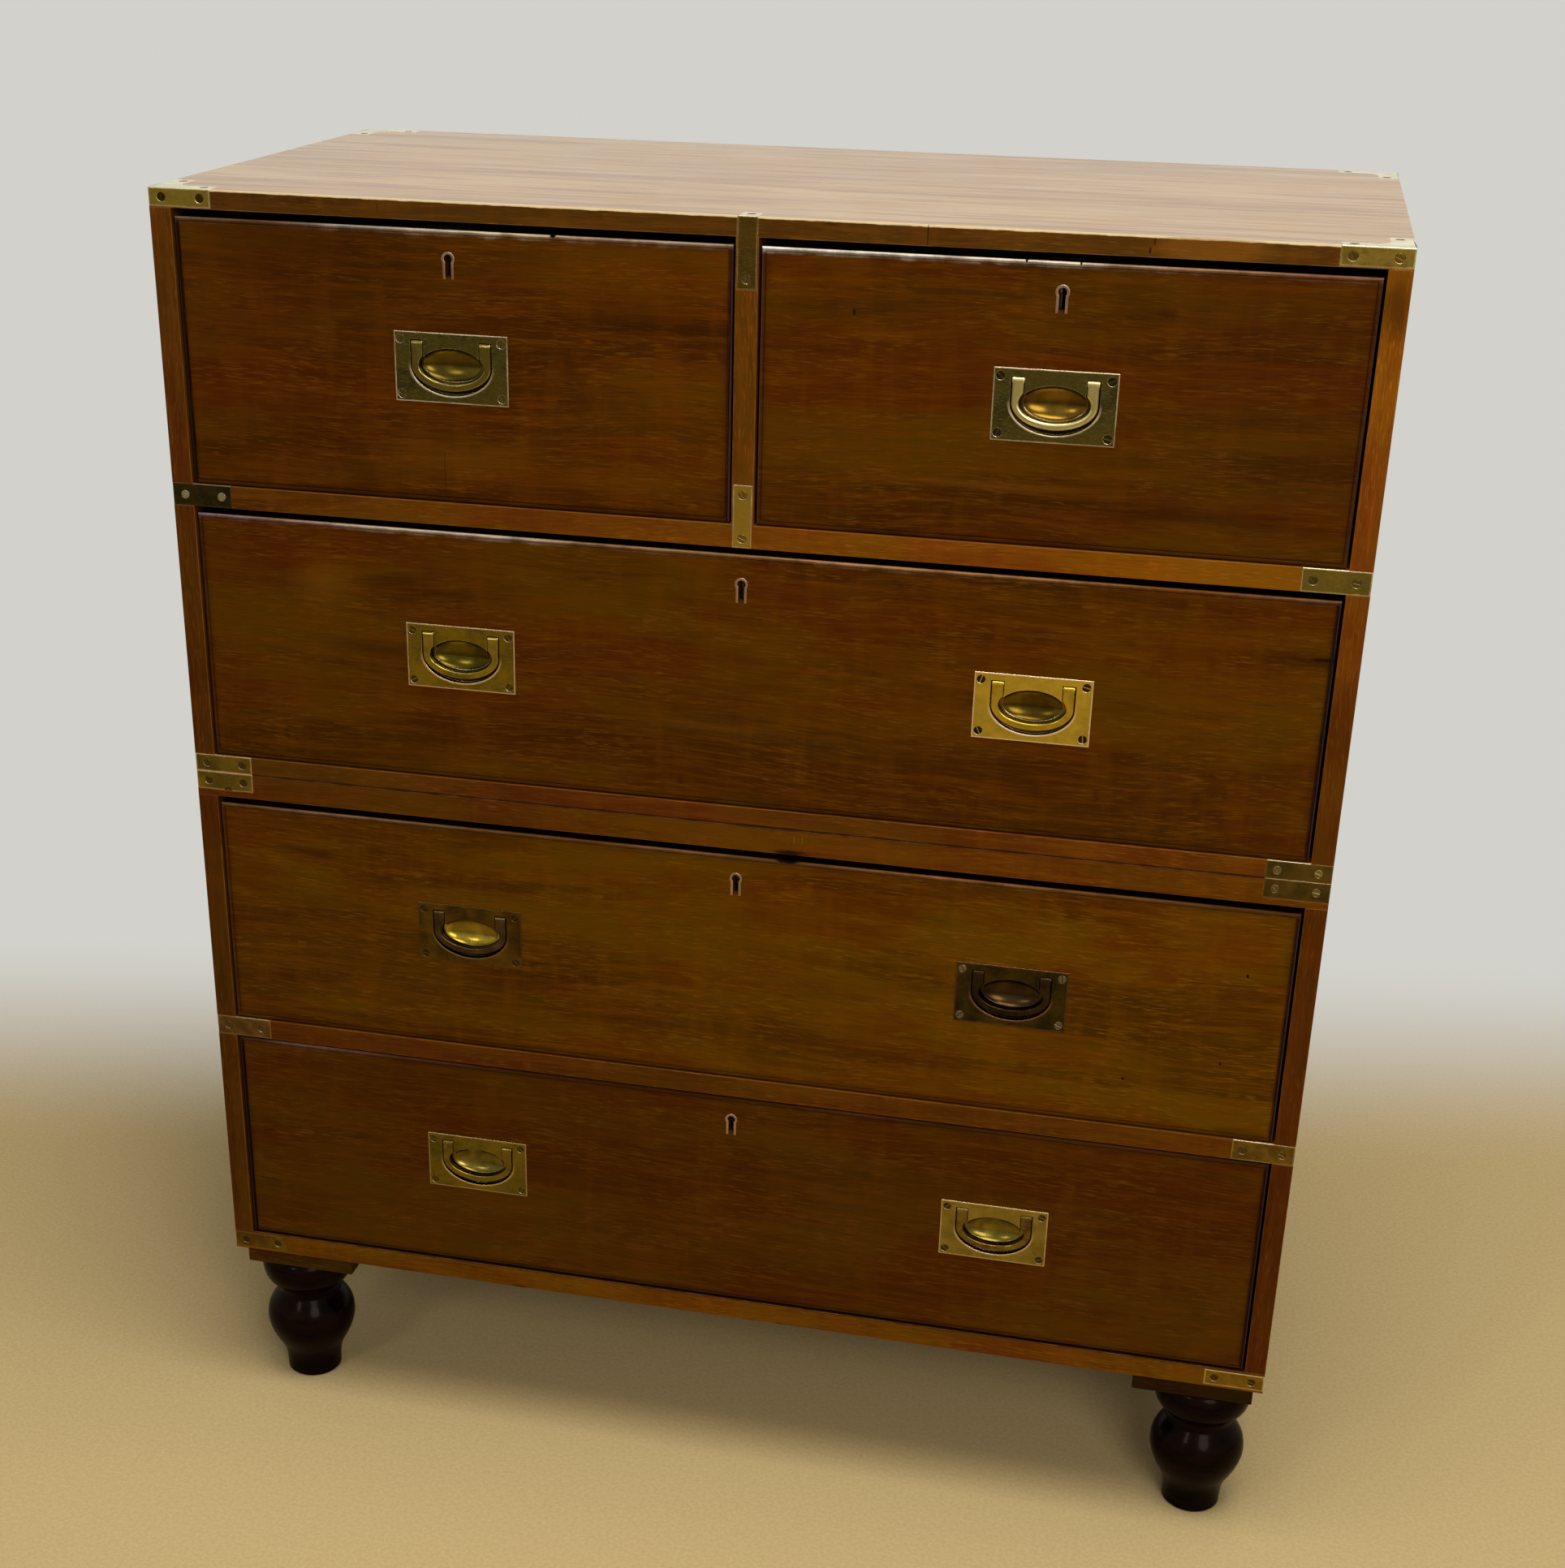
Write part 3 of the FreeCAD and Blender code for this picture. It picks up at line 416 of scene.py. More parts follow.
def bleached_and_sheen_top(paint_light, paint_dark):
    """The sun-bleached upper face of the top board, painted paler still as a painted sheen of light off its
    polish, and its worn front arris.
    """
    (_, front, _), (_, _, top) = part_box("upper_top_board")

    def lay(bench, place, colour):
        up = bench.facing_up()
        cloud = bench.drawn(place, (3.0, 14.0, 9.0), 4.0, 0.6)
        streak = bench.drawn(place, (5.0, 90.0, 9.0), 4.0, 0.65)
        # Pale tones of the top face: bleaching, and painted sheen.
        bleached_and_lit = bench.blend(bench.ramp(cloud, 0.36, 0.60), paint_dark, paint_light)
        bleached_and_lit = bench.blend(bench.ramp(streak, 0.54, 0.38, 0.0, 0.85), bleached_and_lit, tint(128, 84, 36))
        fine = bench.drawn(place, (9.0, 420.0, 9.0), 3.0, 0.6)
        bleached_and_lit = bench.blend(bench.ramp(fine, 0.52, 0.40, 0.0, 0.35), bleached_and_lit, tint(128, 92, 52))
        grained = bench.blend(0.10, bleached_and_lit, colour)
        colour = bench.blend(bench.ramp(up, 0.6, 0.9), colour, grained)
        behind = bench.minus(bench.axis(place, 1), front)
        below = bench.minus(top, bench.axis(place, 2))
        ragged = bench.waver(bench.noise(place, 70.0, 3.0, 0.6), 0.0016)
        rubbed = bench.times(bench.ramp(bench.plus(behind, ragged), 0.0022, 0.0012),
                             bench.ramp(bench.plus(below, ragged), 0.0018, 0.0010))
        return bench.blend(bench.times(rubbed, 0.9), colour, tint(232, 212, 164))
    return lay


def dress(node, material):
    """Gives a carried-over part its finish."""
    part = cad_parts[node]
    for place in range(len(part.material_slots)):
        part.material_slots[place].material = material


def mark(x, z, wide, high, paint, strength=1.0, core=0.5, ragged=0.6):
    """One stain, dent or seam on the front."""
    return (x, FRONT_FACE, z), (wide, 0.006, high), core, ragged, tint(*paint), strength


soot, gold = (24, 11, 4), (112, 70, 14)
# For each drawer front: its tone, what multiplies it at the left and right (its own tone with painted light
# and shade), the width of painted shade at the left, right and foot, chips as (x, half width), the lip's worn
# and painted-highlight tone from left to right, and its marks.
FRONTS = {
    "top_left": dict(
        tone=(75, 37, 1), begins=(0.86, 0.88, 1), ends=(1.0, 1.0, 1), shade_widths=(0.0030, 0.0022, 0.0),
        chips=((-0.156, 0.003),),
        lip=[(-0.47, (108, 90, 66)), (-0.40, (118, 90, 62)), (-0.32, (200, 184, 168)),
             (-0.20, (214, 198, 168)), (-0.14, (184, 156, 132)), (-0.03, (172, 148, 128))],
        marks=[(-0.36, 1.12, 0.14, 0.05, (48, 22, 1), 0.5, 0.0),
               (-0.08, 1.07, 0.16, 0.018, (44, 20, 1), 0.45, 0.0),
               (-0.24, 0.955, 0.1, 0.03, gold, 0.22, 0.0),
               (-0.2513, 0.944, 0.0006, 0.022, (38, 17, 2), 0.5, 0.7, 0.2)]),
    "top_right": dict(
        tone=(73, 37, 1), begins=(1.0, 1.0, 1), ends=(0.88, 0.88, 1), shade_widths=(0.0006, 0.0010, 0.0),
        chips=((0.2145, 0.0012), (0.2552, 0.0010)),
        lip=[(0.02, (252, 244, 232)), (0.24, (246, 230, 210)), (0.29, (184, 152, 128)),
             (0.34, (166, 124, 92)), (0.44, (134, 92, 70))],
        marks=[(0.0849, 1.093, 0.0016, 0.003, soot), (0.2058, 0.966, 0.17, 0.0075, gold, 0.34, 0.0, 0.9),
               (0.345, 0.951, 0.14, 0.011, (40, 18, 1), 0.5, 0.0, 0.9),
               (0.323, 1.103, 0.012, 0.008, (36, 16, 1), 0.55, 0.0, 0.9),
               (0.1, 1.095, 0.1, 0.018, (52, 24, 1), 0.4, 0.0)]),
    "second": dict(
        tone=(73, 38, 1), begins=(0.94, 0.94, 1), ends=(1.04, 1.05, 1), shade_widths=(0.0012, 0.0026, 0.0),
        chips=(),
        lip=[(-0.47, (136, 114, 120)), (-0.40, (156, 124, 106)), (-0.30, (208, 190, 162)),
             (-0.22, (206, 186, 166)), (-0.12, (158, 124, 92)), (0.0, (150, 112, 72)),
             (0.08, (186, 138, 96)), (0.24, (162, 116, 70)), (0.35, (122, 74, 32)), (0.47, (126, 88, 60))],
        marks=[(0.47, 0.8475, 0.018, 0.0022, soot, 0.95, 0.5, 0.9),
               (0.455, 0.846, 0.06, 0.013, (40, 18, 1), 0.6, 0.0, 0.9),
               (-0.3624, 0.842, 0.045, 0.03, gold, 0.4, 0.0),
               (-0.321, 0.788, 0.06, 0.013, (42, 19, 1), 0.5, 0.0, 0.9),
               (-0.02, 0.745, 0.12, 0.014, gold, 0.25, 0.0, 0.9),
               (0.2, 0.735, 0.16, 0.02, (46, 22, 1), 0.4, 0.0, 0.9)]),
    "third": dict(
        tone=(80, 44, 1), begins=(0.9, 0.9, 1), ends=(1.12, 1.14, 1), shade_widths=(0.0, 0.0026, 0.0),
        chips=((0.045, 0.012),),
        lip=[(-0.47, (106, 80, 50)), (-0.36, (128, 96, 74)), (-0.24, (108, 74, 46)),
             (-0.12, (102, 68, 32)), (-0.05, (126, 90, 62)), (0.04, (96, 66, 38)), (0.18, (148, 98, 60)),
             (0.30, (114, 78, 44)), (0.46, (80, 50, 28))],
        marks=[(0.438, 0.5707, 0.0017, 0.0022, soot), (0.424, 0.4865, 0.0015, 0.0022, soot, 0.8),
               (0.3441, 0.4616, 0.0017, 0.0018, soot),
               (-0.393, 0.592, 0.055, 0.009, (38, 18, 1), 0.55, 0.0, 0.9),
               (-0.25, 0.56, 0.1, 0.02, (96, 64, 8), 0.3, 0.0),
               (0.43, 0.59, 0.05, 0.02, (112, 56, 6), 0.3, 0.0)]),
    "bottom": dict(
        tone=(66, 34, 1), begins=(0.98, 0.98, 1), ends=(1.08, 1.08, 1), shade_widths=(0.0036, 0.0026, 0.0016),
        chips=(),
        lip=[(-0.47, (70, 44, 34)), (-0.41, (124, 90, 78)), (-0.30, (88, 54, 38)), (-0.18, (66, 36, 16)),
             (0.04, (64, 35, 12)), (0.12, (88, 52, 36)), (0.20, (70, 38, 16)), (0.32, (84, 48, 28)),
             (0.46, (66, 38, 20))],
        marks=[(-0.15, 0.29, 0.16, 0.02, (48, 24, 1), 0.3, 0.0, 0.9)]),
}
for count, row in enumerate(ROWS):
    look = FRONTS[row]
    front = row + "_drawer_front"
    dress(front, wood(row.replace("_", " ") + " drawer front", *shades(look["tone"], 0.54, 1.55), count + 1,
                      figure=0.9 if row != "bottom" else 0.4, patches=[mark(*spot) for spot in look["marks"]],
                      bands=[tone_and_shade_change(front, 0, look["begins"], look["ends"]), edge_darkening_band(front),
                             shadow_line(front, *look["shade_widths"]),
                             lip_wear_and_highlight_band(front, 0.0017, look["lip"], look["chips"])]))

case_edge = tint(176, 116, 58)
# Each board: its tone, the axis it changes along, and what multiplies it at the two ends (its own tone with
# painted light and shade).
BOARDS = {
    "lower_base_board": ((92, 52, 5), 0, (1, 1, 1), (1, 1, 1)),
    "lower_rail": ((80, 42, 4), 0, (0.9, 0.9, 1), (1.1, 1.1, 1)),
    "lower_top_board": ((88, 46, 4), 0, (0.72, 0.74, 1), (1.12, 1.12, 1)),
    "upper_base_board": ((90, 48, 6), 0, (0.66, 0.68, 1), (1.1, 1.1, 1)),
    "upper_rail": ((98, 53, 6), 0, (0.7, 0.72, 1), (1.35, 1.3, 1)),
    "lower_left_side": ((70, 36, 4), 2, (0.95, 0.95, 1), (1, 1.05, 1)),
    "lower_right_side": ((76, 35, 4), 2, (0.9, 0.9, 1), (1.1, 1.1, 1)),
    "upper_left_side": ((82, 42, 6), 2, (0.8, 0.8, 0.8), (1, 1.05, 1.4)),
    "upper_right_side": ((104, 56, 7), 2, (0.62, 0.58, 0.7), (1.3, 1.32, 1.2)),
    "divider": ((90, 48, 7), 2, (1, 1, 1), (1, 1, 1)),
}
# Dark joints beside the boards, and painted shade in the gap under the bottom drawer: height, half width and
# strength.
JOINTS_AND_GAP_SHADE = {"lower_top_board": [seam_and_gap_shade_band(JOIN, 0.0016, 0.92)],
          "upper_base_board": [seam_and_gap_shade_band(JOIN, 0.0014, 0.92)],
          # Painted shade along the base board's top edge, in the gap under the bottom drawer.
          "lower_base_board": [seam_and_gap_shade_band(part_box("lower_base_board")[1][2], 0.0011, 0.9, tint(20, 8, 5))]}
BOARD_MARKS = {
    "lower_top_board": [(0.048, 0.6392, 0.020, 0.0045, soot, 0.9, 0.3, 1.0),
                        (0.0505, 0.652, 0.0005, 0.006, (132, 78, 26), 0.6, 0.6, 0.3),
                        (0.0575, 0.652, 0.0005, 0.006, (132, 78, 26), 0.6, 0.6, 0.3)],
    "lower_base_board": [(-0.2044, 0.1622, 0.010, 0.0018, soot, 0.9, 0.5, 0.9),
                         (0.05, 0.1625, 0.006, 0.0012, soot, 0.7)],
    "upper_right_side": [(0.487, 1.118, 0.03, 0.035, (62, 34, 4), 0.6, 0.0),
                         (0.487, 0.79, 0.03, 0.06, (60, 28, 3), 0.45, 0.0)],
    "lower_left_side": [(-0.487, 0.45, 0.006, 0.05, (44, 22, 2), 0.4, 0.0)],
}
for count, (node, (tone, axis, begins, ends)) in enumerate(BOARDS.items()):
    dress(node, wood(node.replace("_", " "), *shades(tone, 0.6), 11 + count * 2, upright=axis == 2,
                     edge=case_edge, figure=0.7, patches=[mark(*spot) for spot in BOARD_MARKS.get(node, ())],
                     bands=[tone_and_shade_change(node, axis, begins, ends)] + JOINTS_AND_GAP_SHADE.get(node, [])))
# Cracks and a let-in piece along the top board's front edge.
PATCHES = [(0.1391, 1.153, 0.0006, 0.012, soot, 0.75, 0.7, 0.2),
           (0.308, 1.1565, 0.0012, 0.0035, soot, 0.8, 0.6, 0.2),
           (0.305, 1.150, 0.0012, 0.0035, soot, 0.8, 0.6, 0.2),
           (0.371, 1.153, 0.0008, 0.006, soot, 0.4, 0.6, 0.3),
           (-0.30, 1.153, 0.0006, 0.006, soot, 0.5, 0.7, 0.2),
           (0.065, 1.1575, 0.010, 0.002, soot, 0.5, 0.2, 0.9),
           (0.35, 1.1535, 0.05, 0.016, (128, 78, 18), 0.5, 0.5, 0.1)]
# The top board brightens towards the right, partly painted light and shade.
crown = wood("top board", *shades((78, 43, 6)), 43, edge=tint(226, 186, 116), specular=0.05,
             patches=[mark(*spot) for spot in PATCHES],
             bands=[tone_and_shade_change("upper_top_board", 0, (0.95, 1.0, 1.0), (1.15, 1.2, 1.2)),
                    # Bleached top face with painted sheen.
                    bleached_and_sheen_top(tint(180, 144, 89), tint(166, 126, 69))])
bench = Bench(crown.node_tree)
bench.join(crown.node_tree.nodes["Principled BSDF"].inputs["Coat Weight"],
           bench.ramp(bench.facing_up(), 0.6, 0.9, 0.0, 1.0))
dress("upper_top_board", crown)
lining = wood("drawer linings", tint(116, 82, 48), tint(146, 108, 66), tint(170, 132, 86), 14, rough=0.6,
              mixed=0.2)
for node in ("lower_back_boards", "upper_back_boards", "lower_runners_and_stops", "upper_runners_and_stops",
             "locating_pegs"):
    dress(node, lining)
for row in ROWS:
    dress(row + "_drawer_sides_and_back", lining)
    dress(row + "_drawer_bottom", lining)


# ---- brass -----------------------------------------------------------------------------
def oval(bench, across, height, half_wide, half_high):
    """1 along an oval about the cup's middle, and less inside it."""
    wide = bench.maths("POWER", bench.maths("DIVIDE", across, half_wide), 2.0)
    high = bench.maths("POWER", bench.maths("DIVIDE", bench.minus(height, RISE), half_high), 2.0)
    return bench.plus(wide, high)


def brass(name, deep, middle, worn, seed, rough=0.30, cast=None, sunk=None, frame_of=None):
    """Old brass, darkened in the flats and rubbed pale along its edges. cast is the place of a plate's middle
    with its rim's strength and its cup's colour; sunk is the y beyond which the hollow is painted in shade;
    frame_of is a strap's front face (left, right, low, high) with the strength of its pale rim, and brings a
    painted highlight on upward faces."""
    sheet, bench, shader = finish_sheet(name, metallic=1.0)
    place = bench.object_place()
    stain, scratch, pit = bench.use(TARNISH, {"Place": place, "Seed": (seed * 1.7, seed * 0.9, seed * 2.3)},
                                    ("Stain", "Scratch", "Pit"))
    rub, bright, rolled = bench.use(WEAR, {"Place": place, "Radius": 0.0008, "Break scale": 130.0},
                                    ("Edge", "Patchy edge", "Normal"))
    colour = bench.blend(stain, deep, middle)
    colour = bench.blend(bench.ramp(scratch, 0.5, 0.75, 0.0, 0.14), colour, worn)
    colour = bench.blend(bench.times(pit, 0.4), colour, scaled(deep, 0.4))
    roughness = bench.ramp(stain, 0.0, 1.0, rough + 0.10, rough - 0.06)
    if cast:
        x, face, z, rim, cup = cast
        across = bench.minus(bench.axis(place, 0), x)
        height = bench.minus(bench.axis(place, 2), z)
        depth = bench.minus(bench.axis(place, 1), face)
        border = bench.most(bench.minus(bench.maths("ABSOLUTE", across), PLATE_WIDE),
                            bench.minus(bench.maths("ABSOLUTE", height), PLATE_HIGH))
        ragged = bench.waver(bench.noise(place, 240.0, 3.0, 0.6), 0.0012)
        frame_mask = bench.times(bench.ramp(bench.plus(border, ragged), -0.0013, -0.0007), rim)
        colour = bench.blend(frame_mask, colour, worn)
        cup_oval = oval(bench, across, height, CUP_WIDE, CUP_HIGH)
        hollow = bench.times(bench.ramp(cup_oval, 1.05, 1.0), bench.ramp(depth, 0.0003, 0.0008))
        # Painted shadow: the groove's floor around the cup, near black where the handle shades it.
        groove_shade_mask = bench.times(bench.ramp(depth, 0.0016, 0.0040), bench.ramp(cup_oval, 1.0, 1.06))
        colour = bench.blend(bench.times(groove_shade_mask, 0.92), colour, tint(14, 10, 5))
        # The cup, painted darker as a painted reflection of dim surroundings, with its own stains.
        colour = bench.blend(hollow, colour, bench.blend(stain, scaled(cup, 0.45), cup))
        roughness = bench.plus(bench.times(roughness, bench.minus(1.0, hollow)),
                               bench.times(hollow, 0.24))
        # Painted highlight: a pale rim, in the rubbed tone, on the lower outer wall of the handle's groove.
        ring = oval(bench, across, height, RECESS_WIDE, RECESS_LOW + RISE)
        rim_highlight_mask = bench.times(bench.ramp(bench.plus(ring, bench.times(ragged, 60.0)), 1.13, 1.07),
                               bench.ramp(ring, 0.96, 0.985))
        rim_highlight_mask = bench.times(rim_highlight_mask, bench.times(bench.ramp(height, 0.006, -0.010),
                                                     bench.ramp(depth, 0.0026, 0.0018)))
        colour = bench.blend(bench.times(rim_highlight_mask, 0.95), colour, worn)
    if frame_of:
        left, right, low, high, strength = frame_of
        across, height = bench.axis(place, 0), bench.axis(place, 2)
        inside = bench.least(bench.least(bench.minus(across, left), bench.minus(right, across)),
                             bench.least(bench.minus(height, low), bench.minus(high, height)))
        ragged = bench.waver(bench.noise(place, 190.0, 3.0, 0.6), 0.0016)
        colour = bench.blend(bench.times(bench.ramp(bench.plus(inside, ragged), 0.0014, 0.0006), strength),
                             colour, worn)
    if sunk:
        # Painted shade: darker deeper into the keyhole.
        deeper = bench.ramp(bench.axis(place, 1), sunk, sunk + 0.0025)
        colour = bench.blend(deeper, colour, tint(10, 7, 5))
    colour = bench.blend(bench.plus(bench.times(rub, 0.55), bench.times(bright, 0.4)), colour, worn)
    # Painted highlight: upward faces of a strap painted near white, where overhead light falls.
    if frame_of:
        upper = bench.ramp(bench.facing_up(), 0.7, 0.95)
        colour = bench.blend(bench.times(upper, bench.ramp(pit, 0.0, 1.0, 0.95, 0.6)), colour,
                             tint(252, 246, 218))
    surface(bench, shader, colour, roughness, bench.minus(bench.times(scratch, 0.3), pit), 0.12, 0.0002,
            Normal=rolled)
    return sheet


# Each handle has aged in its own way: how far the rubbed tone frames the plate, then the plate's
# deep and middle tones, the rubbed tone, the cup (its tone with a painted reflection), the handle's two tones
# and its screws.
HANDLES = {
    "top_left": (0.8, (62, 56, 20), (118, 108, 46), (226, 204, 180), (114, 94, 34),
                 (112, 100, 44), (150, 136, 68), (92, 80, 38)),
    "top_right": (0.6, (64, 58, 24), (116, 106, 50), (226, 204, 168), (118, 90, 30),
                  (188, 174, 112), (236, 226, 168), (50, 42, 24)),
    "second_left": (0.85, (100, 84, 18), (138, 118, 30), (222, 192, 160), (98, 84, 24),
                    (112, 96, 30), (152, 134, 52), (84, 66, 22)),
    "second_right": (0.85, (168, 142, 42), (204, 178, 66), (240, 214, 182), (108, 84, 24),
                     (156, 130, 34), (192, 164, 56), (50, 38, 14)),
    "third_left": (0.1, (58, 42, 12), (94, 72, 24), (120, 92, 56), (172, 146, 50),
                   (58, 44, 26), (92, 74, 50), (70, 52, 22)),
    "third_right": (0.3, (38, 32, 12), (66, 54, 22), (122, 84, 62), (66, 48, 26),
                    (32, 24, 12), (56, 44, 26), (120, 108, 84)),
    "bottom_left": (0.6, (84, 72, 18), (116, 100, 30), (188, 162, 116), (122, 106, 44),
                    (92, 76, 24), (124, 104, 40), (82, 68, 22)),
    "bottom_right": (0.75, (112, 96, 38), (146, 128, 58), (204, 180, 136), (132, 114, 44),
                     (76, 56, 20), (128, 106, 44), (74, 58, 26)),
}
threads = brass("keyhole threads", tint(150, 112, 90), tint(186, 150, 126), tint(222, 196, 176), 4,
                sunk=-0.2452)
for row in ROWS:
    dress(row + "_lock", threads)
iron, bench, shader = finish_sheet("lock bolts", metallic=1.0)
place = bench.object_place()
bench.join(shader.inputs["Base Color"], bench.blend(
    bench.ramp(bench.noise(place, 240.0, 4.0, 0.6), 0.35, 0.65), tint(92, 88, 82), tint(150, 146, 138)))
bench.join(shader.inputs["Roughness"], bench.ramp(bench.noise(place, 90.0, 3.0), 0.3, 0.7, 0.3, 0.55))
for row in ROWS:
    dress(row + "_lock_bolt", iron)


# ---- modelling helpers -----------------------------------------------------------------
def select_only(piece):
    bpy.ops.object.select_all(action="DESELECT")
    piece.select_set(True)
    bpy.context.view_layer.objects.active = piece


def settle(piece):
    """Puts a piece's place, turn and scale into its mesh."""
    select_only(piece)
    bpy.ops.object.transform_apply(location=True, rotation=True, scale=True)


def block(x0, x1, y0, y1, z0, z1):
    bpy.ops.mesh.primitive_cube_add(size=1, location=((x0 + x1) / 2, (y0 + y1) / 2, (z0 + z1) / 2))
    made = bpy.context.object
    made.scale = (x1 - x0, y1 - y0, z1 - z0)
    settle(made)
    return made


def oval_rod(half_x, half_z, y0, y1, z=0.0, x=0.0):
    """A rod along Y with an oval section."""
    bpy.ops.mesh.primitive_cylinder_add(vertices=128, radius=1, depth=1, location=(x, (y0 + y1) / 2, z),
                                        rotation=(math.pi / 2, 0, 0))
    made = bpy.context.object
    made.scale = (half_x, half_z, y1 - y0)
    settle(made)
    return made


def work(piece, kind, **settings):
    """Adds one modifier and applies it."""
    select_only(piece)
    modifier = piece.modifiers.new("work", kind)
    for key, value in settings.items():
        setattr(modifier, key, value)
    bpy.ops.object.modifier_apply(modifier="work")


def combine(piece, other, operation):
    work(piece, "BOOLEAN", operation=operation, object=other, solver="EXACT")
    bpy.data.objects.remove(other)
    return piece


def edit_all(piece):
    select_only(piece)
    bpy.ops.object.mode_set(mode="EDIT")
    bpy.ops.mesh.select_all(action="SELECT")


def cut_level(piece, z):
    """Cuts off what lies above a height, and leaves the new face selected in edit mode."""
    edit_all(piece)
    bpy.ops.mesh.bisect(plane_co=(0, 0, z), plane_no=(0, 0, 1), use_fill=True, clear_outer=True)


def round_edges(piece, width, segments, angle=38, clamp=True):
    work(piece, "WELD", merge_threshold=0.000002)
    work(piece, "BEVEL", width=width, segments=segments, limit_method="ANGLE",
         angle_limit=math.radians(angle), harden_normals=False, use_clamp_overlap=clamp)


def soften(piece, width=0.0, segments=2):
    """Rounds the sharp edges, if given a width, and shades the rest smooth."""
    if width:
        round_edges(piece, width, segments)
    select_only(piece)
    bpy.ops.object.shade_smooth_by_angle(angle=math.radians(32))
    work(piece, "WEIGHTED_NORMAL", keep_sharp=True, weight=50)
    return piece


FACING = {"front": (0, 0, 0), "back": (0, 0, math.pi), "left": (0, 0, -math.pi / 2),
          "right": (0, 0, math.pi / 2), "top": (-math.pi / 2, 0, 0)}


def copy_to(model, name, x, y, z, turn=0.0, facing="front"):
    """A copy with its own mesh, turned about its own axis, then faced and moved to its place."""
    select_only(model)
    bpy.ops.object.duplicate()
    made = bpy.context.object
    made.name = name
    made.rotation_euler = (0, turn, 0)
    settle(made)
    made.rotation_euler = FACING[facing]
    made.location = (x, y, z)
    settle(made)
    return made


def join_up(parts):
    bpy.ops.object.select_all(action="DESELECT")
    for part in parts:
        part.select_set(True)
    bpy.context.view_layer.objects.active = parts[0]
    bpy.ops.object.join()
    return parts[0]


def finish_piece(piece, name, material, body, node=None):
    piece.name = name
    piece.data.materials.clear()
    piece.data.materials.append(material)
    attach(piece, body)
    if node:
        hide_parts(node)


# ---- handles ---------------------------------------------------------------------------
def horseshoe(half, low, top, y0, y1):
    """A slab with a straight upper part and an oval lower end."""
    made = oval_rod(half, RISE + low, y0, y1, RISE)
    cut_level(made, RISE)
    bpy.ops.mesh.extrude_region_move(TRANSFORM_OT_translate={"value": (0, 0, top - RISE)})
    bpy.ops.mesh.select_all(action="SELECT")
    bpy.ops.mesh.dissolve_limited(angle_limit=0.0001)
    bpy.ops.object.mode_set(mode="OBJECT")
    return made


def model_plate():
    """The cast plate with its cup and the recess that the handle lies in."""
    plate = block(-PLATE_WIDE, PLATE_WIDE, FACE, 0.0021, -PLATE_HIGH, PLATE_HIGH)
    plate = combine(plate, block(-0.0371, 0.0371, 0.0, 0.0124, -0.0241, 0.0239), "UNION")
    recess = horseshoe(RECESS_WIDE, RECESS_LOW, RECESS_TOP, -0.01, 0.0048)
    recess = combine(recess, block(-0.0235, 0.0235, -0.02, 0.02, RISE, 0.03), "DIFFERENCE")
    plate = combine(plate, recess, "DIFFERENCE")
    bpy.ops.mesh.primitive_uv_sphere_add(segments=96, ring_count=64, radius=1, location=(0, CUP_BACK, RISE))
    bowl = bpy.context.object
    bowl.scale = (CUP_WIDE, CUP_DEEP, CUP_HIGH)
    settle(bowl)
    bowl = combine(bowl, oval_rod(CUP_WIDE, CUP_HIGH, -0.01, CUP_BACK, RISE), "UNION")
    plate = combine(plate, bowl, "DIFFERENCE")
    for x in (-0.0426, 0.0426):
        for z in (-0.0219, 0.0219):
            plate = combine(plate, oval_rod(SCREW_HOLE, SCREW_HOLE, -0.01, 0.0002, z, x), "DIFFERENCE")
    return soften(plate, 0.0004)


def model_bail(roundness):
    """The drop handle: round-edged arms that narrow into a loop, each on its knuckle."""
    inside = 0.0239
    bail = horseshoe(BAIL_HALF, BAIL_LOW, PIVOT[1] + 0.01, BAIL_FACE, BAIL_FACE + BAIL_THICK)
    bail = combine(bail, oval_rod(0.0274, 0.0143, -0.01, 0.01, RISE), "DIFFERENCE")
    bail = combine(bail, block(-inside, inside, -0.01, 0.01, RISE, 0.05), "DIFFERENCE")
    round_edges(bail, roundness, 5, 60, clamp=False)
    cut_level(bail, PIVOT[1])
    bpy.ops.object.mode_set(mode="OBJECT")
    for side in (-1, 1):
        bpy.ops.mesh.primitive_cylinder_add(vertices=64, radius=0.00273, depth=BAIL_HALF - inside,
                                            rotation=(0, math.pi / 2, 0),
                                            location=(side * (BAIL_HALF + inside) / 2, *PIVOT))
        knuckle = bpy.context.object
        settle(knuckle)
        round_edges(knuckle, 0.0006, 3)
        bail = combine(bail, knuckle, "UNION")
    return soften(bail)


def model_screw():
    """A countersunk screw's head with its slot."""
    head = oval_rod(0.0034, 0.0034, -0.0003, 0.0014)
    head = combine(head, block(-0.005, 0.005, -0.001, 0.0003, -0.00045, 0.00045), "DIFFERENCE")
    return soften(head, 0.00025)


plate_model, screw_model = model_plate(), model_screw()
flat_bail, round_bail = model_bail(0.0012), model_bail(0.0022)


def set_screw(number, x, y, z, facing="front"):
    """A screw turned like no other near it."""
    turns = (0.4, 1.9, 2.7, 1.1, 0.2, 2.3, 1.5, 0.8)
    return copy_to(screw_model, "screw", x, y, z, turns[number % 8], facing)


def finish_screws(screws, name, tone, seed, body):
    """Joins a piece's screws and gives them one finish, pale along their worn edges."""
    worn = tuple(min(1.0, channel * 1.9) for channel in tone[:3]) + (1,)
    look = brass(name.replace("_", " ") + " screws", scaled(tone, 0.5), tone, worn, seed, 0.45)
    finish_piece(join_up(screws), name + "_screws", look, body)


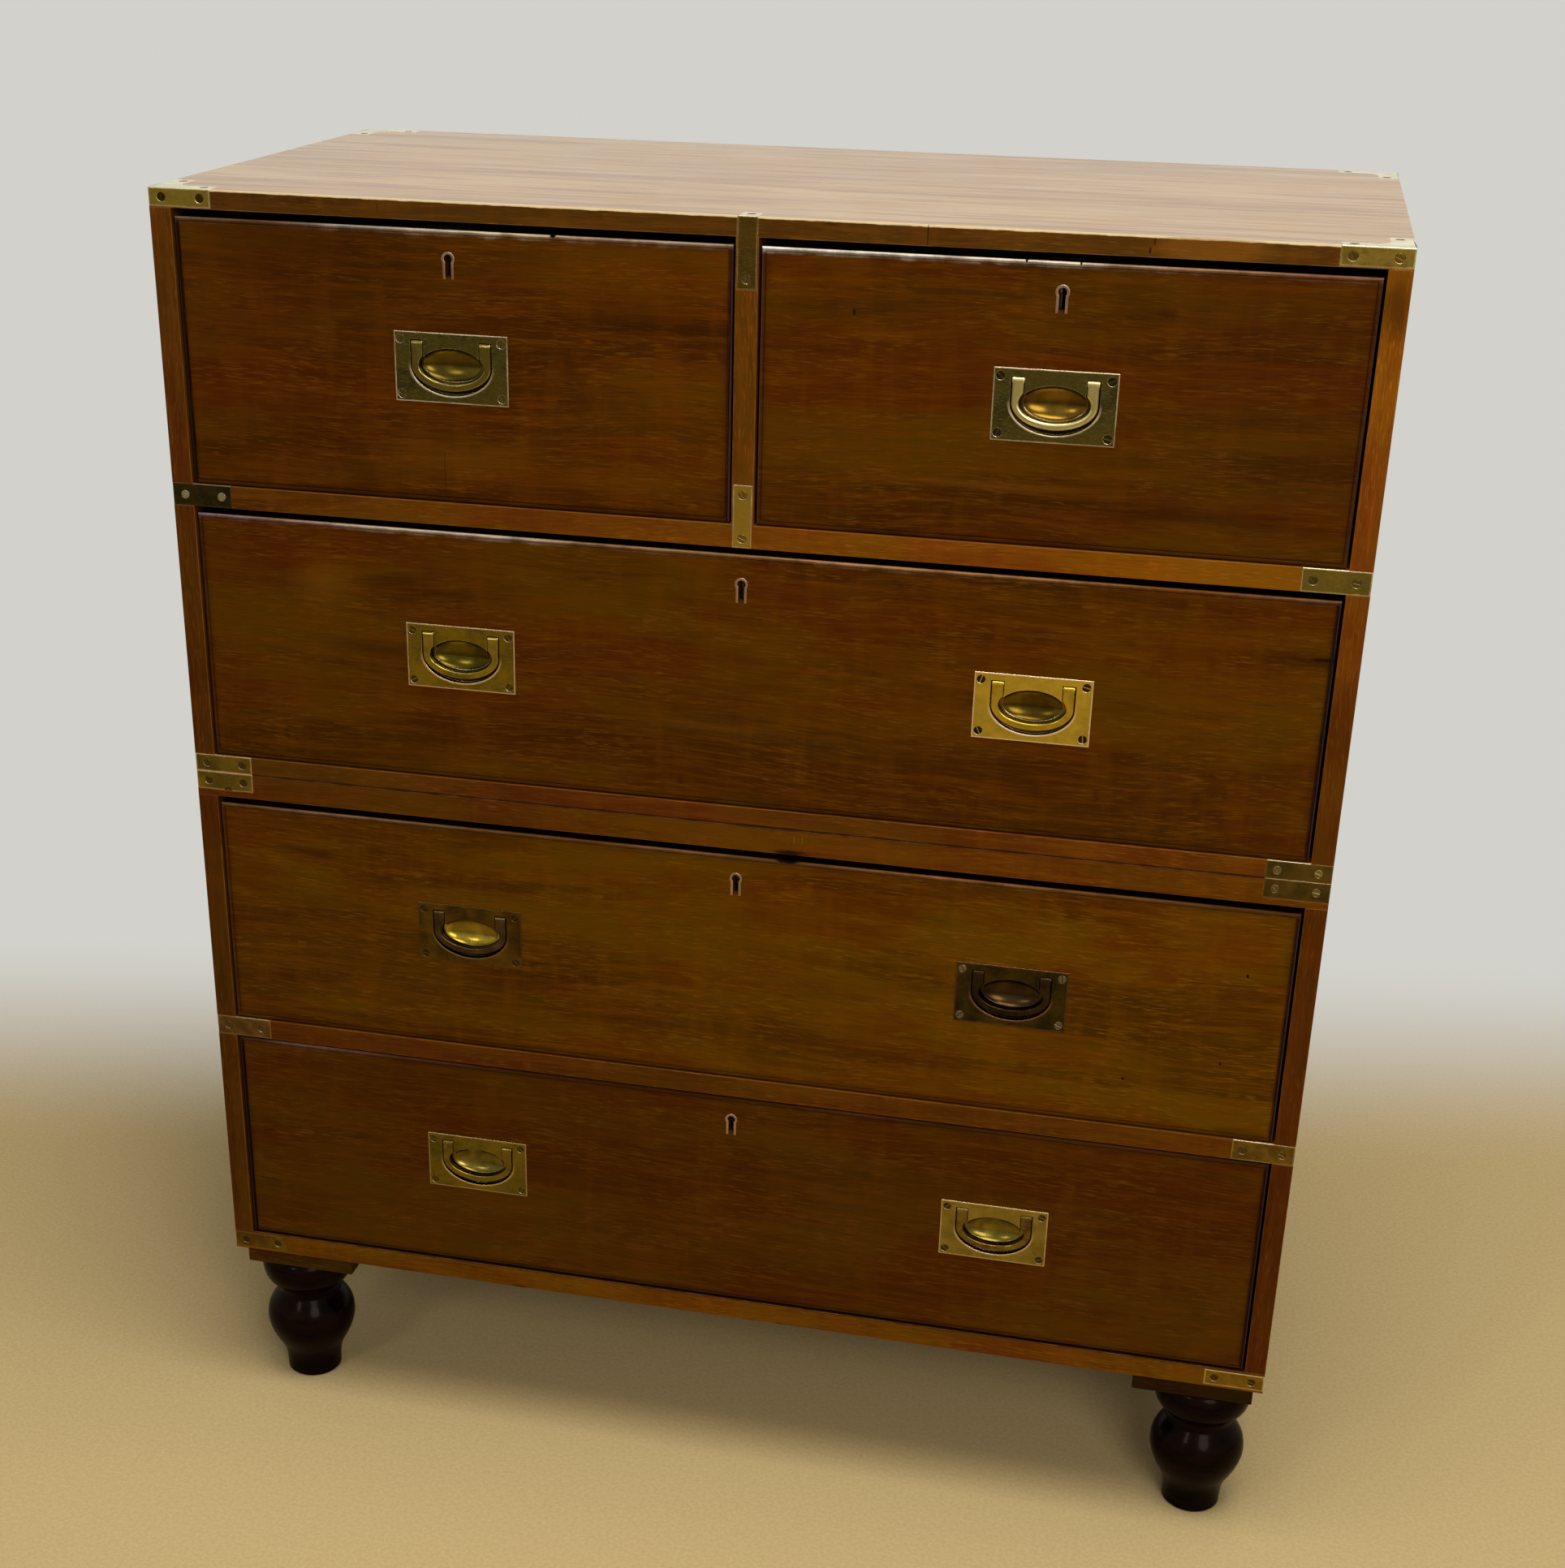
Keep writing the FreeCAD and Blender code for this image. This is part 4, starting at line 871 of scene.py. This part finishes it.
for count, (name, (rim, *tones)) in enumerate(HANDLES.items()):
    deep, middle, rub, cup, bail_deep, bail_middle, screw = (tint(*tone) for tone in tones)
    top_row = name.startswith("top")
    row = name if top_row else name.rsplit("_", 1)[0]
    low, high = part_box(name + "_bail")
    x, y, z = (low[0] + high[0]) / 2, low[1] - BAIL_FACE, high[2] - BAIL_TOP
    words, body = name.replace("_", " "), row + "_drawer"
    plate = copy_to(plate_model, name + "_plate", x, y, z)
    plate_look = brass(words + " plate", deep, middle, rub, count + 2, 0.28, (x, y + FACE, z, rim, cup))
    finish_piece(plate, name + "_plate", plate_look, body,
                 row + "_handle_plates" if top_row or name.endswith("left") else None)
    bail = copy_to(round_bail if name == "top_right" else flat_bail, name + "_drop_handle", x, y, z)
    finish_piece(bail, name + "_drop_handle", brass(words + " handle", bail_deep, bail_middle, rub,
                                                    count + 20, 0.22), name + "_bail",
                 name + "_bail")
    screws = [set_screw(count + corner * 3, x + dx, y + FACE + 0.0004, z + dz)
              for corner, (dx, dz) in enumerate(PLATE_SCREWS)]
    finish_screws(screws, name, screw, count + 40, body)


# ---- straps and corners ----------------------------------------------------------------
def fit_strap(strap, name, body, spots, tones, seed, front, node=None):
    """Drills a strap, rounds its edges, and sets a slotted screw in each hole. front is its
    front face (left, right, low, high) with the strength of its pale rim."""
    deep, middle, worn, screw = (tint(*tone) for tone in tones)
    screws = []
    for count, (x, y, z, facing) in enumerate(spots):
        hole = oval_rod(SCREW_HOLE, SCREW_HOLE, -0.004, 0.004)
        hole.rotation_euler = FACING[facing]
        hole.location = (x, y, z)
        settle(hole)
        strap = combine(strap, hole, "DIFFERENCE")
        screws.append(set_screw(seed + count * 3, x, y, z, facing))
    edit_all(strap)
    bpy.ops.mesh.fill_holes(sides=6)
    bpy.ops.object.mode_set(mode="OBJECT")
    round_edges(strap, 0.00035, 2, clamp=False)
    look = brass(name.replace("_", " "), deep, middle, worn, seed, frame_of=front)
    finish_piece(soften(strap), name, look, body, node)
    finish_screws(screws, name, screw, seed + 1, body)


def edge_strap(name, side, z0, z1, body, rim, tones, seed, node):
    """A strap round one front corner of a case."""
    outer, inner, face = side * HALF_WIDE, side * (HALF_WIDE - STRAP), side * (HALF_WIDE - SHEET)
    left, right = min(outer, inner), max(outer, inner)
    strap = block(left, right, -HALF_DEEP, -HALF_DEEP + SHEET, z0, z1)
    flank = block(min(outer, face), max(outer, face), -HALF_DEEP, -HALF_DEEP + STRAP, z0, z1)
    strap = combine(strap, flank, "UNION")
    if name == "join_strap_left_below":
        strap = combine(strap, oval_rod(0.0036, 0.0034, -0.3, -0.2, z0, -0.466), "DIFFERENCE")
    middle = (z0 + z1) / 2
    facing = "right" if side > 0 else "left"
    spots = [(side * (HALF_WIDE - apart), -HALF_DEEP + SUNK, middle, "front") for apart in (0.011, 0.044)]
    spots += [(outer - side * SUNK, -HALF_DEEP + apart, middle, facing) for apart in (0.014, 0.044)]
    fit_strap(strap, name, body, spots, tones, seed, (left, right, z0, z1, rim), node)


def top_corner(name, side, end, tones, seed):
    """A three-way corner: two legs on the top joined by a hollow curve, and two flanges."""
    def span(sign, edge, length):
        return sorted((sign * edge, sign * (edge - length)))
    leg, hollow, low = 0.018, 0.012, TOP - 0.0145
    x_long, x_thin, x_leg = (span(side, HALF_WIDE, size) for size in (STRAP, SHEET, leg))
    y_long, y_thin, y_leg = (span(end, HALF_DEEP, size) for size in (STRAP, SHEET, leg))
    corner_x, corner_y = side * (HALF_WIDE - leg), end * (HALF_DEEP - leg)
    curve_x, curve_y = corner_x - side * hollow, corner_y - end * hollow
    web = block(*sorted((corner_x, curve_x)), *sorted((corner_y, curve_y)), TOP - SHEET, TOP)
    bpy.ops.mesh.primitive_cylinder_add(vertices=96, radius=hollow, depth=0.01,
                                        location=(curve_x, curve_y, TOP))
    web = combine(web, bpy.context.object, "DIFFERENCE")
    bracket = combine(block(*x_long, *y_leg, TOP - SHEET, TOP), block(*x_leg, *y_long, TOP - SHEET, TOP),
                      "UNION")
    bracket = combine(bracket, block(*x_long, *y_thin, low, TOP), "UNION")
    bracket = combine(bracket, block(*x_thin, *y_long, low, TOP), "UNION")
    bracket = combine(bracket, web, "UNION")
    middle, near, far = TOP - 0.00725, 0.0105, 0.044
    end_face = "back" if end > 0 else "front"
    flank_face = "right" if side > 0 else "left"
    spots = [(side * (HALF_WIDE - apart), end * (HALF_DEEP - SUNK), middle, end_face)
             for apart in (0.011, far)]
    spots += [(side * (HALF_WIDE - SUNK), end * (HALF_DEEP - apart), middle, flank_face)
              for apart in (0.014, far)]
    spots += [(side * (HALF_WIDE - far), end * (HALF_DEEP - near), TOP - SUNK, "top"),
              (side * (HALF_WIDE - near), end * (HALF_DEEP - far), TOP - SUNK, "top")]
    fit_strap(bracket, name, "upper_case", spots, tones, seed, (*x_long, low, TOP, 0.4))


def divider_strap(name, z0, z1, fold, spots, rim, tones, seed):
    half = 0.008
    strap = block(-half, half, -HALF_DEEP, -HALF_DEEP + SHEET, z0, z1)
    if fold:
        strap = combine(strap, block(-half, half, -HALF_DEEP, -HALF_DEEP + fold, TOP - SHEET, TOP), "UNION")
    spots = [(0, -HALF_DEEP + y, z, facing) for y, z, facing in spots]
    fit_strap(strap, name, "upper_case", spots, tones, seed, (-half, half, z0, z1, rim))


def levels(node):
    low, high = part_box(node)
    return low[2], high[2]


# Each strap's name, heights, case, and for its left and right: the strength of the pale rim,
# then the deep, middle and worn tones and that of its screws.
base_z = levels("lower_base_board")[0] + 0.002
rail_low, rail_high = levels("upper_rail")
EDGE_STRAPS = (
    ("base_strap_%s", (base_z, base_z + 0.0155), "lower_case",
     (0.1, ((84, 62, 18), (116, 90, 34), (130, 104, 56), (78, 58, 22))),
     (0.7, ((112, 84, 18), (148, 116, 32), (214, 194, 150), (86, 62, 18)))),
    ("lower_rail_strap_%s", levels("lower_rail"), "lower_case",
     (0.5, ((84, 62, 30), (124, 98, 54), (160, 130, 90), (96, 72, 40))),
     (0.4, ((90, 68, 22), (120, 96, 38), (196, 172, 126), (96, 74, 32)))),
    ("join_strap_%s_below", (JOIN - 0.017, JOIN), "lower_case",
     (0.7, ((96, 82, 26), (138, 118, 44), (206, 172, 138), (78, 66, 24))),
     (0.3, ((66, 52, 20), (96, 78, 34), (126, 102, 60), (124, 104, 62)))),
    ("join_strap_%s_above", levels("upper_base_board"), "upper_case",
     (0.85, ((88, 74, 24), (124, 106, 40), (206, 172, 138), (84, 68, 26))),
     (0.35, ((68, 55, 21), (98, 80, 36), (134, 112, 68), (132, 116, 68)))),
    ("upper_rail_strap_%s", (rail_low, rail_high), "upper_case",
     (0.25, ((36, 32, 16), (78, 66, 34), (112, 100, 70), (160, 150, 116))),
     (0.6, ((98, 84, 32), (136, 120, 54), (214, 194, 150), (88, 74, 32)))),
)
STANDS_FOR = {"base_strap_left": "lower_straps", "join_strap_left_above": "upper_straps"}
seed = 50
for pattern, (z0, z1), body, *looks in EDGE_STRAPS:
    for word, side, (rim, tones) in zip(("left", "right"), (-1, 1), looks):
        name = pattern % word
        edge_strap(name, side, z0, z1, body, rim, tones, seed, STANDS_FOR.get(name))
        seed += 2
dull_brass = ((104, 88, 32), (138, 122, 56), (232, 222, 172), (84, 66, 26))
CORNERS = (("front_left_corner", -1, -1, ((122, 102, 34), (176, 154, 62), (232, 222, 172), (66, 48, 18))),
           ("front_right_corner", 1, -1, ((124, 100, 34), (164, 136, 60), (228, 214, 150), (104, 80, 30))),
           ("back_left_corner", -1, 1, dull_brass), ("back_right_corner", 1, 1, dull_brass))
for name, side, end, tones in CORNERS:
    top_corner(name, side, end, tones, seed)
    seed += 2
divider_strap("divider_strap_above", TOP - 0.055, TOP, 0.022,
              [(SUNK, TOP - 0.047, "front"), (0.014, TOP - SUNK, "top")], 0.35,
              ((76, 58, 18), (116, 92, 32), (196, 172, 120), (96, 76, 40)), seed)
divider_strap("divider_strap_below", rail_low, rail_high + 0.0325, 0,
              [(SUNK, rail_low + 0.008, "front"), (SUNK, rail_high + 0.0245, "front")], 0.8,
              ((140, 114, 44), (186, 156, 68), (216, 186, 140), (120, 94, 36)), seed + 2)
for model in (plate_model, flat_bail, round_bail, screw_model):
    bpy.data.objects.remove(model)


# ---- feet ------------------------------------------------------------------------------
# Radius and height of each ring, from the floor up, in millimetres.
FOOT = [(24.8, 0), (26.6, 2), (26.8, 9), (27.4, 18), (28.8, 24.5), (30.8, 30), (33.6, 35.5), (36.8, 41),
        (39.5, 47), (41.6, 53), (43, 58.5), (43.5, 64), (43.1, 69.5), (42, 75), (39.8, 80), (36.8, 85),
        (33.6, 89.5), (31.4, 92.5), (30.5, 94), (30.6, 96.5), (31, 100), (32.2, 103.5), (34, 106.2),
        (36.6, 108.6), (40.5, 111), (42.8, 115), (44.2, 120), (45, 126), (44.6, 132), (42.8, 137),
        (40, 140.5), (38, 142)]


def model_foot(x, y):
    """Turned from the floor up, one ring at a time."""
    rings = [(radius / 1000, height / 1000) for radius, height in FOOT]
    radius, height = rings[0]
    bpy.ops.mesh.primitive_circle_add(vertices=72, radius=radius, fill_type="NGON", location=(x, y, height))
    foot = bpy.context.object
    edit_all(foot)
    for wider, higher in rings[1:]:
        bpy.ops.mesh.extrude_region_move(TRANSFORM_OT_translate={"value": (0, 0, higher - height)})
        bpy.ops.transform.resize(value=(wider / radius, wider / radius, 1), center_override=(x, y, higher))
        radius, height = wider, higher
    bpy.ops.mesh.select_all(action="SELECT")
    bpy.ops.mesh.normals_make_consistent(inside=False)
    bpy.ops.object.mode_set(mode="OBJECT")
    settle(foot)
    bpy.ops.object.shade_smooth_by_angle(angle=math.radians(40))
    return foot


def black_lacquer():
    sheet, bench, shader = finish_sheet("black foot lacquer", specular=0.03, coat=0.03, coat_rough=0.06)
    shader.inputs["Specular Tint"].default_value = (1.0, 0.72, 0.6, 1.0)
    place = bench.object_place()
    bright = bench.use(WEAR, {"Place": place, "Radius": 0.002, "Break scale": 60.0}, "Patchy edge")
    cloud = bench.drawn(place, (30.0, 30.0, 110.0), 4.0, 0.6)
    ebony = bench.blend(bench.ramp(cloud, 0.35, 0.7), tint(5, 2, 1), tint(19, 6, 3))
    colour = bench.blend(bench.times(bright, 0.4), ebony, tint(44, 22, 12))
    surface(bench, shader, colour, bench.ramp(cloud, 0.3, 0.7, 0.22, 0.34), cloud, 0.1, 0.0005)
    return sheet


lacquer = black_lacquer()
# The foot blocks get lighter towards the left and darker towards the right, partly painted light and shade.
block_wood = wood("foot blocks", *shades((48, 27, 5)), 51, edge=tint(104, 70, 32),
                  bands=[tone_and_shade_change("lower_base_board", 0, (1.55, 1.65, 1.0), (0.68, 0.72, 1.0))])
# The feet's middles and their blocks, from the middle of the chest.
FOOT_X, FOOT_Y = 0.4435, 0.196
PAD_WIDE, PAD_DEEP, PAD_HIGH = (0.379, 0.487), (0.1315, 0.2395), (0.142, 0.162)
for where, end in (("front", -1), ("back", 1)):
    for word, side in (("left", -1), ("right", 1)):
        node = "%s_%s_foot" % (where, word)
        foot = model_foot(side * FOOT_X, end * FOOT_Y)
        finish_piece(foot, node + "_turning", lacquer, "lower_case", node)
        x_span, y_span = sorted(side * x for x in PAD_WIDE), sorted(end * y for y in PAD_DEEP)
        pad = soften(block(*x_span, *y_span, *PAD_HIGH), 0.0012, 3)
        finish_piece(pad, node + "_block", block_wood, "lower_case")


# ---- floor, light and camera -----------------------------------------------------------
def seen_directly(bench):
    """1 for what the camera sees, straight or in a polished surface."""
    rays = bench.tree.nodes.new("ShaderNodeLightPath").outputs
    return bench.most(rays["Is Camera Ray"], bench.most(rays["Is Glossy Ray"], rays["Is Transmission Ray"]))


wall = tint(210, 209, 203)
bpy.ops.object.select_all(action="DESELECT")
bpy.ops.mesh.primitive_circle_add(vertices=96, radius=30.0, fill_type="NGON", location=(0, 0, 0))
floor = bpy.context.object
floor.name = "floor"
sheet, bench, shader = finish_sheet("studio floor", specular=0.2)
place = bench.object_place()
shader.inputs["Roughness"].default_value = 0.9
fibre = bench.noise(place, 260.0, 3.0, 0.6)
bench.join(shader.inputs["Base Color"], bench.blend(bench.ramp(fibre, 0.3, 0.7), tint(190, 166, 116),
                                                    tint(200, 177, 128)))
far = bench.ramp(bench.vector("DOT_PRODUCT", place, (-0.2154, 0.9765, 0), out=1), 0.32, 0.95)
seen = seen_directly(bench)
glow = bench.node("ShaderNodeEmission", {"Color": wall, "Strength": 1.0})
mixed = bench.node("ShaderNodeMixShader", {0: bench.times(far, seen), 1: shader.outputs[0], 2: glow})
bench.join(sheet.node_tree.nodes["Material Output"].inputs["Surface"], mixed)
floor.data.materials.append(sheet)

world = bpy.data.worlds.new("studio")
bpy.context.scene.world = world
world.use_nodes = True
bench = Bench(world.node_tree)
backdrop = world.node_tree.nodes["Background"]
backdrop.inputs["Color"].default_value = wall
bench.join(backdrop.inputs["Strength"], bench.ramp(seen_directly(bench), 0.0, 1.0, 0.32, 1.0))


def soft_light(name, place, aim, size, power):
    lamp = bpy.data.lights.new(name, "AREA")
    lamp.shape = "DISK"
    lamp.size = size
    lamp.energy = power
    lamp.color = (1.0, 0.965, 0.9)
    holder = bpy.data.objects.new(name, lamp)
    bpy.context.collection.objects.link(holder)
    holder.location = place
    holder.rotation_euler = (Vector(aim) - Vector(place)).to_track_quat("-Z", "Y").to_euler()


soft_light("overhead light", (0.4, -0.7, 3.4), (0.0, -0.1, 0.5), 2.0, 84)
soft_light("front light", (1.7, -3.6, 2.4), (0, 0, 0.6), 1.8, 62)
soft_light("window light", (-1.5, -3.3, 2.3), (0, 0, 0.6), 0.7, 12)

camera = bpy.data.objects.new("camera", bpy.data.cameras.new("camera"))
bpy.context.collection.objects.link(camera)
camera.matrix_world = Matrix(((0.9746, -0.1086, 0.1957, 0.3986), (0.2232, 0.4037, -0.8873, -2.0490),
                              (0.0173, 0.9084, 0.4177, 1.3999), (0, 0, 0, 1)))
camera.data.sensor_width = 36.0
camera.data.lens = 53.454
camera.data.shift_x = 0.03
camera.data.shift_y = 0.10
bpy.context.scene.camera = camera
bpy.context.scene.view_settings.view_transform = "Standard"
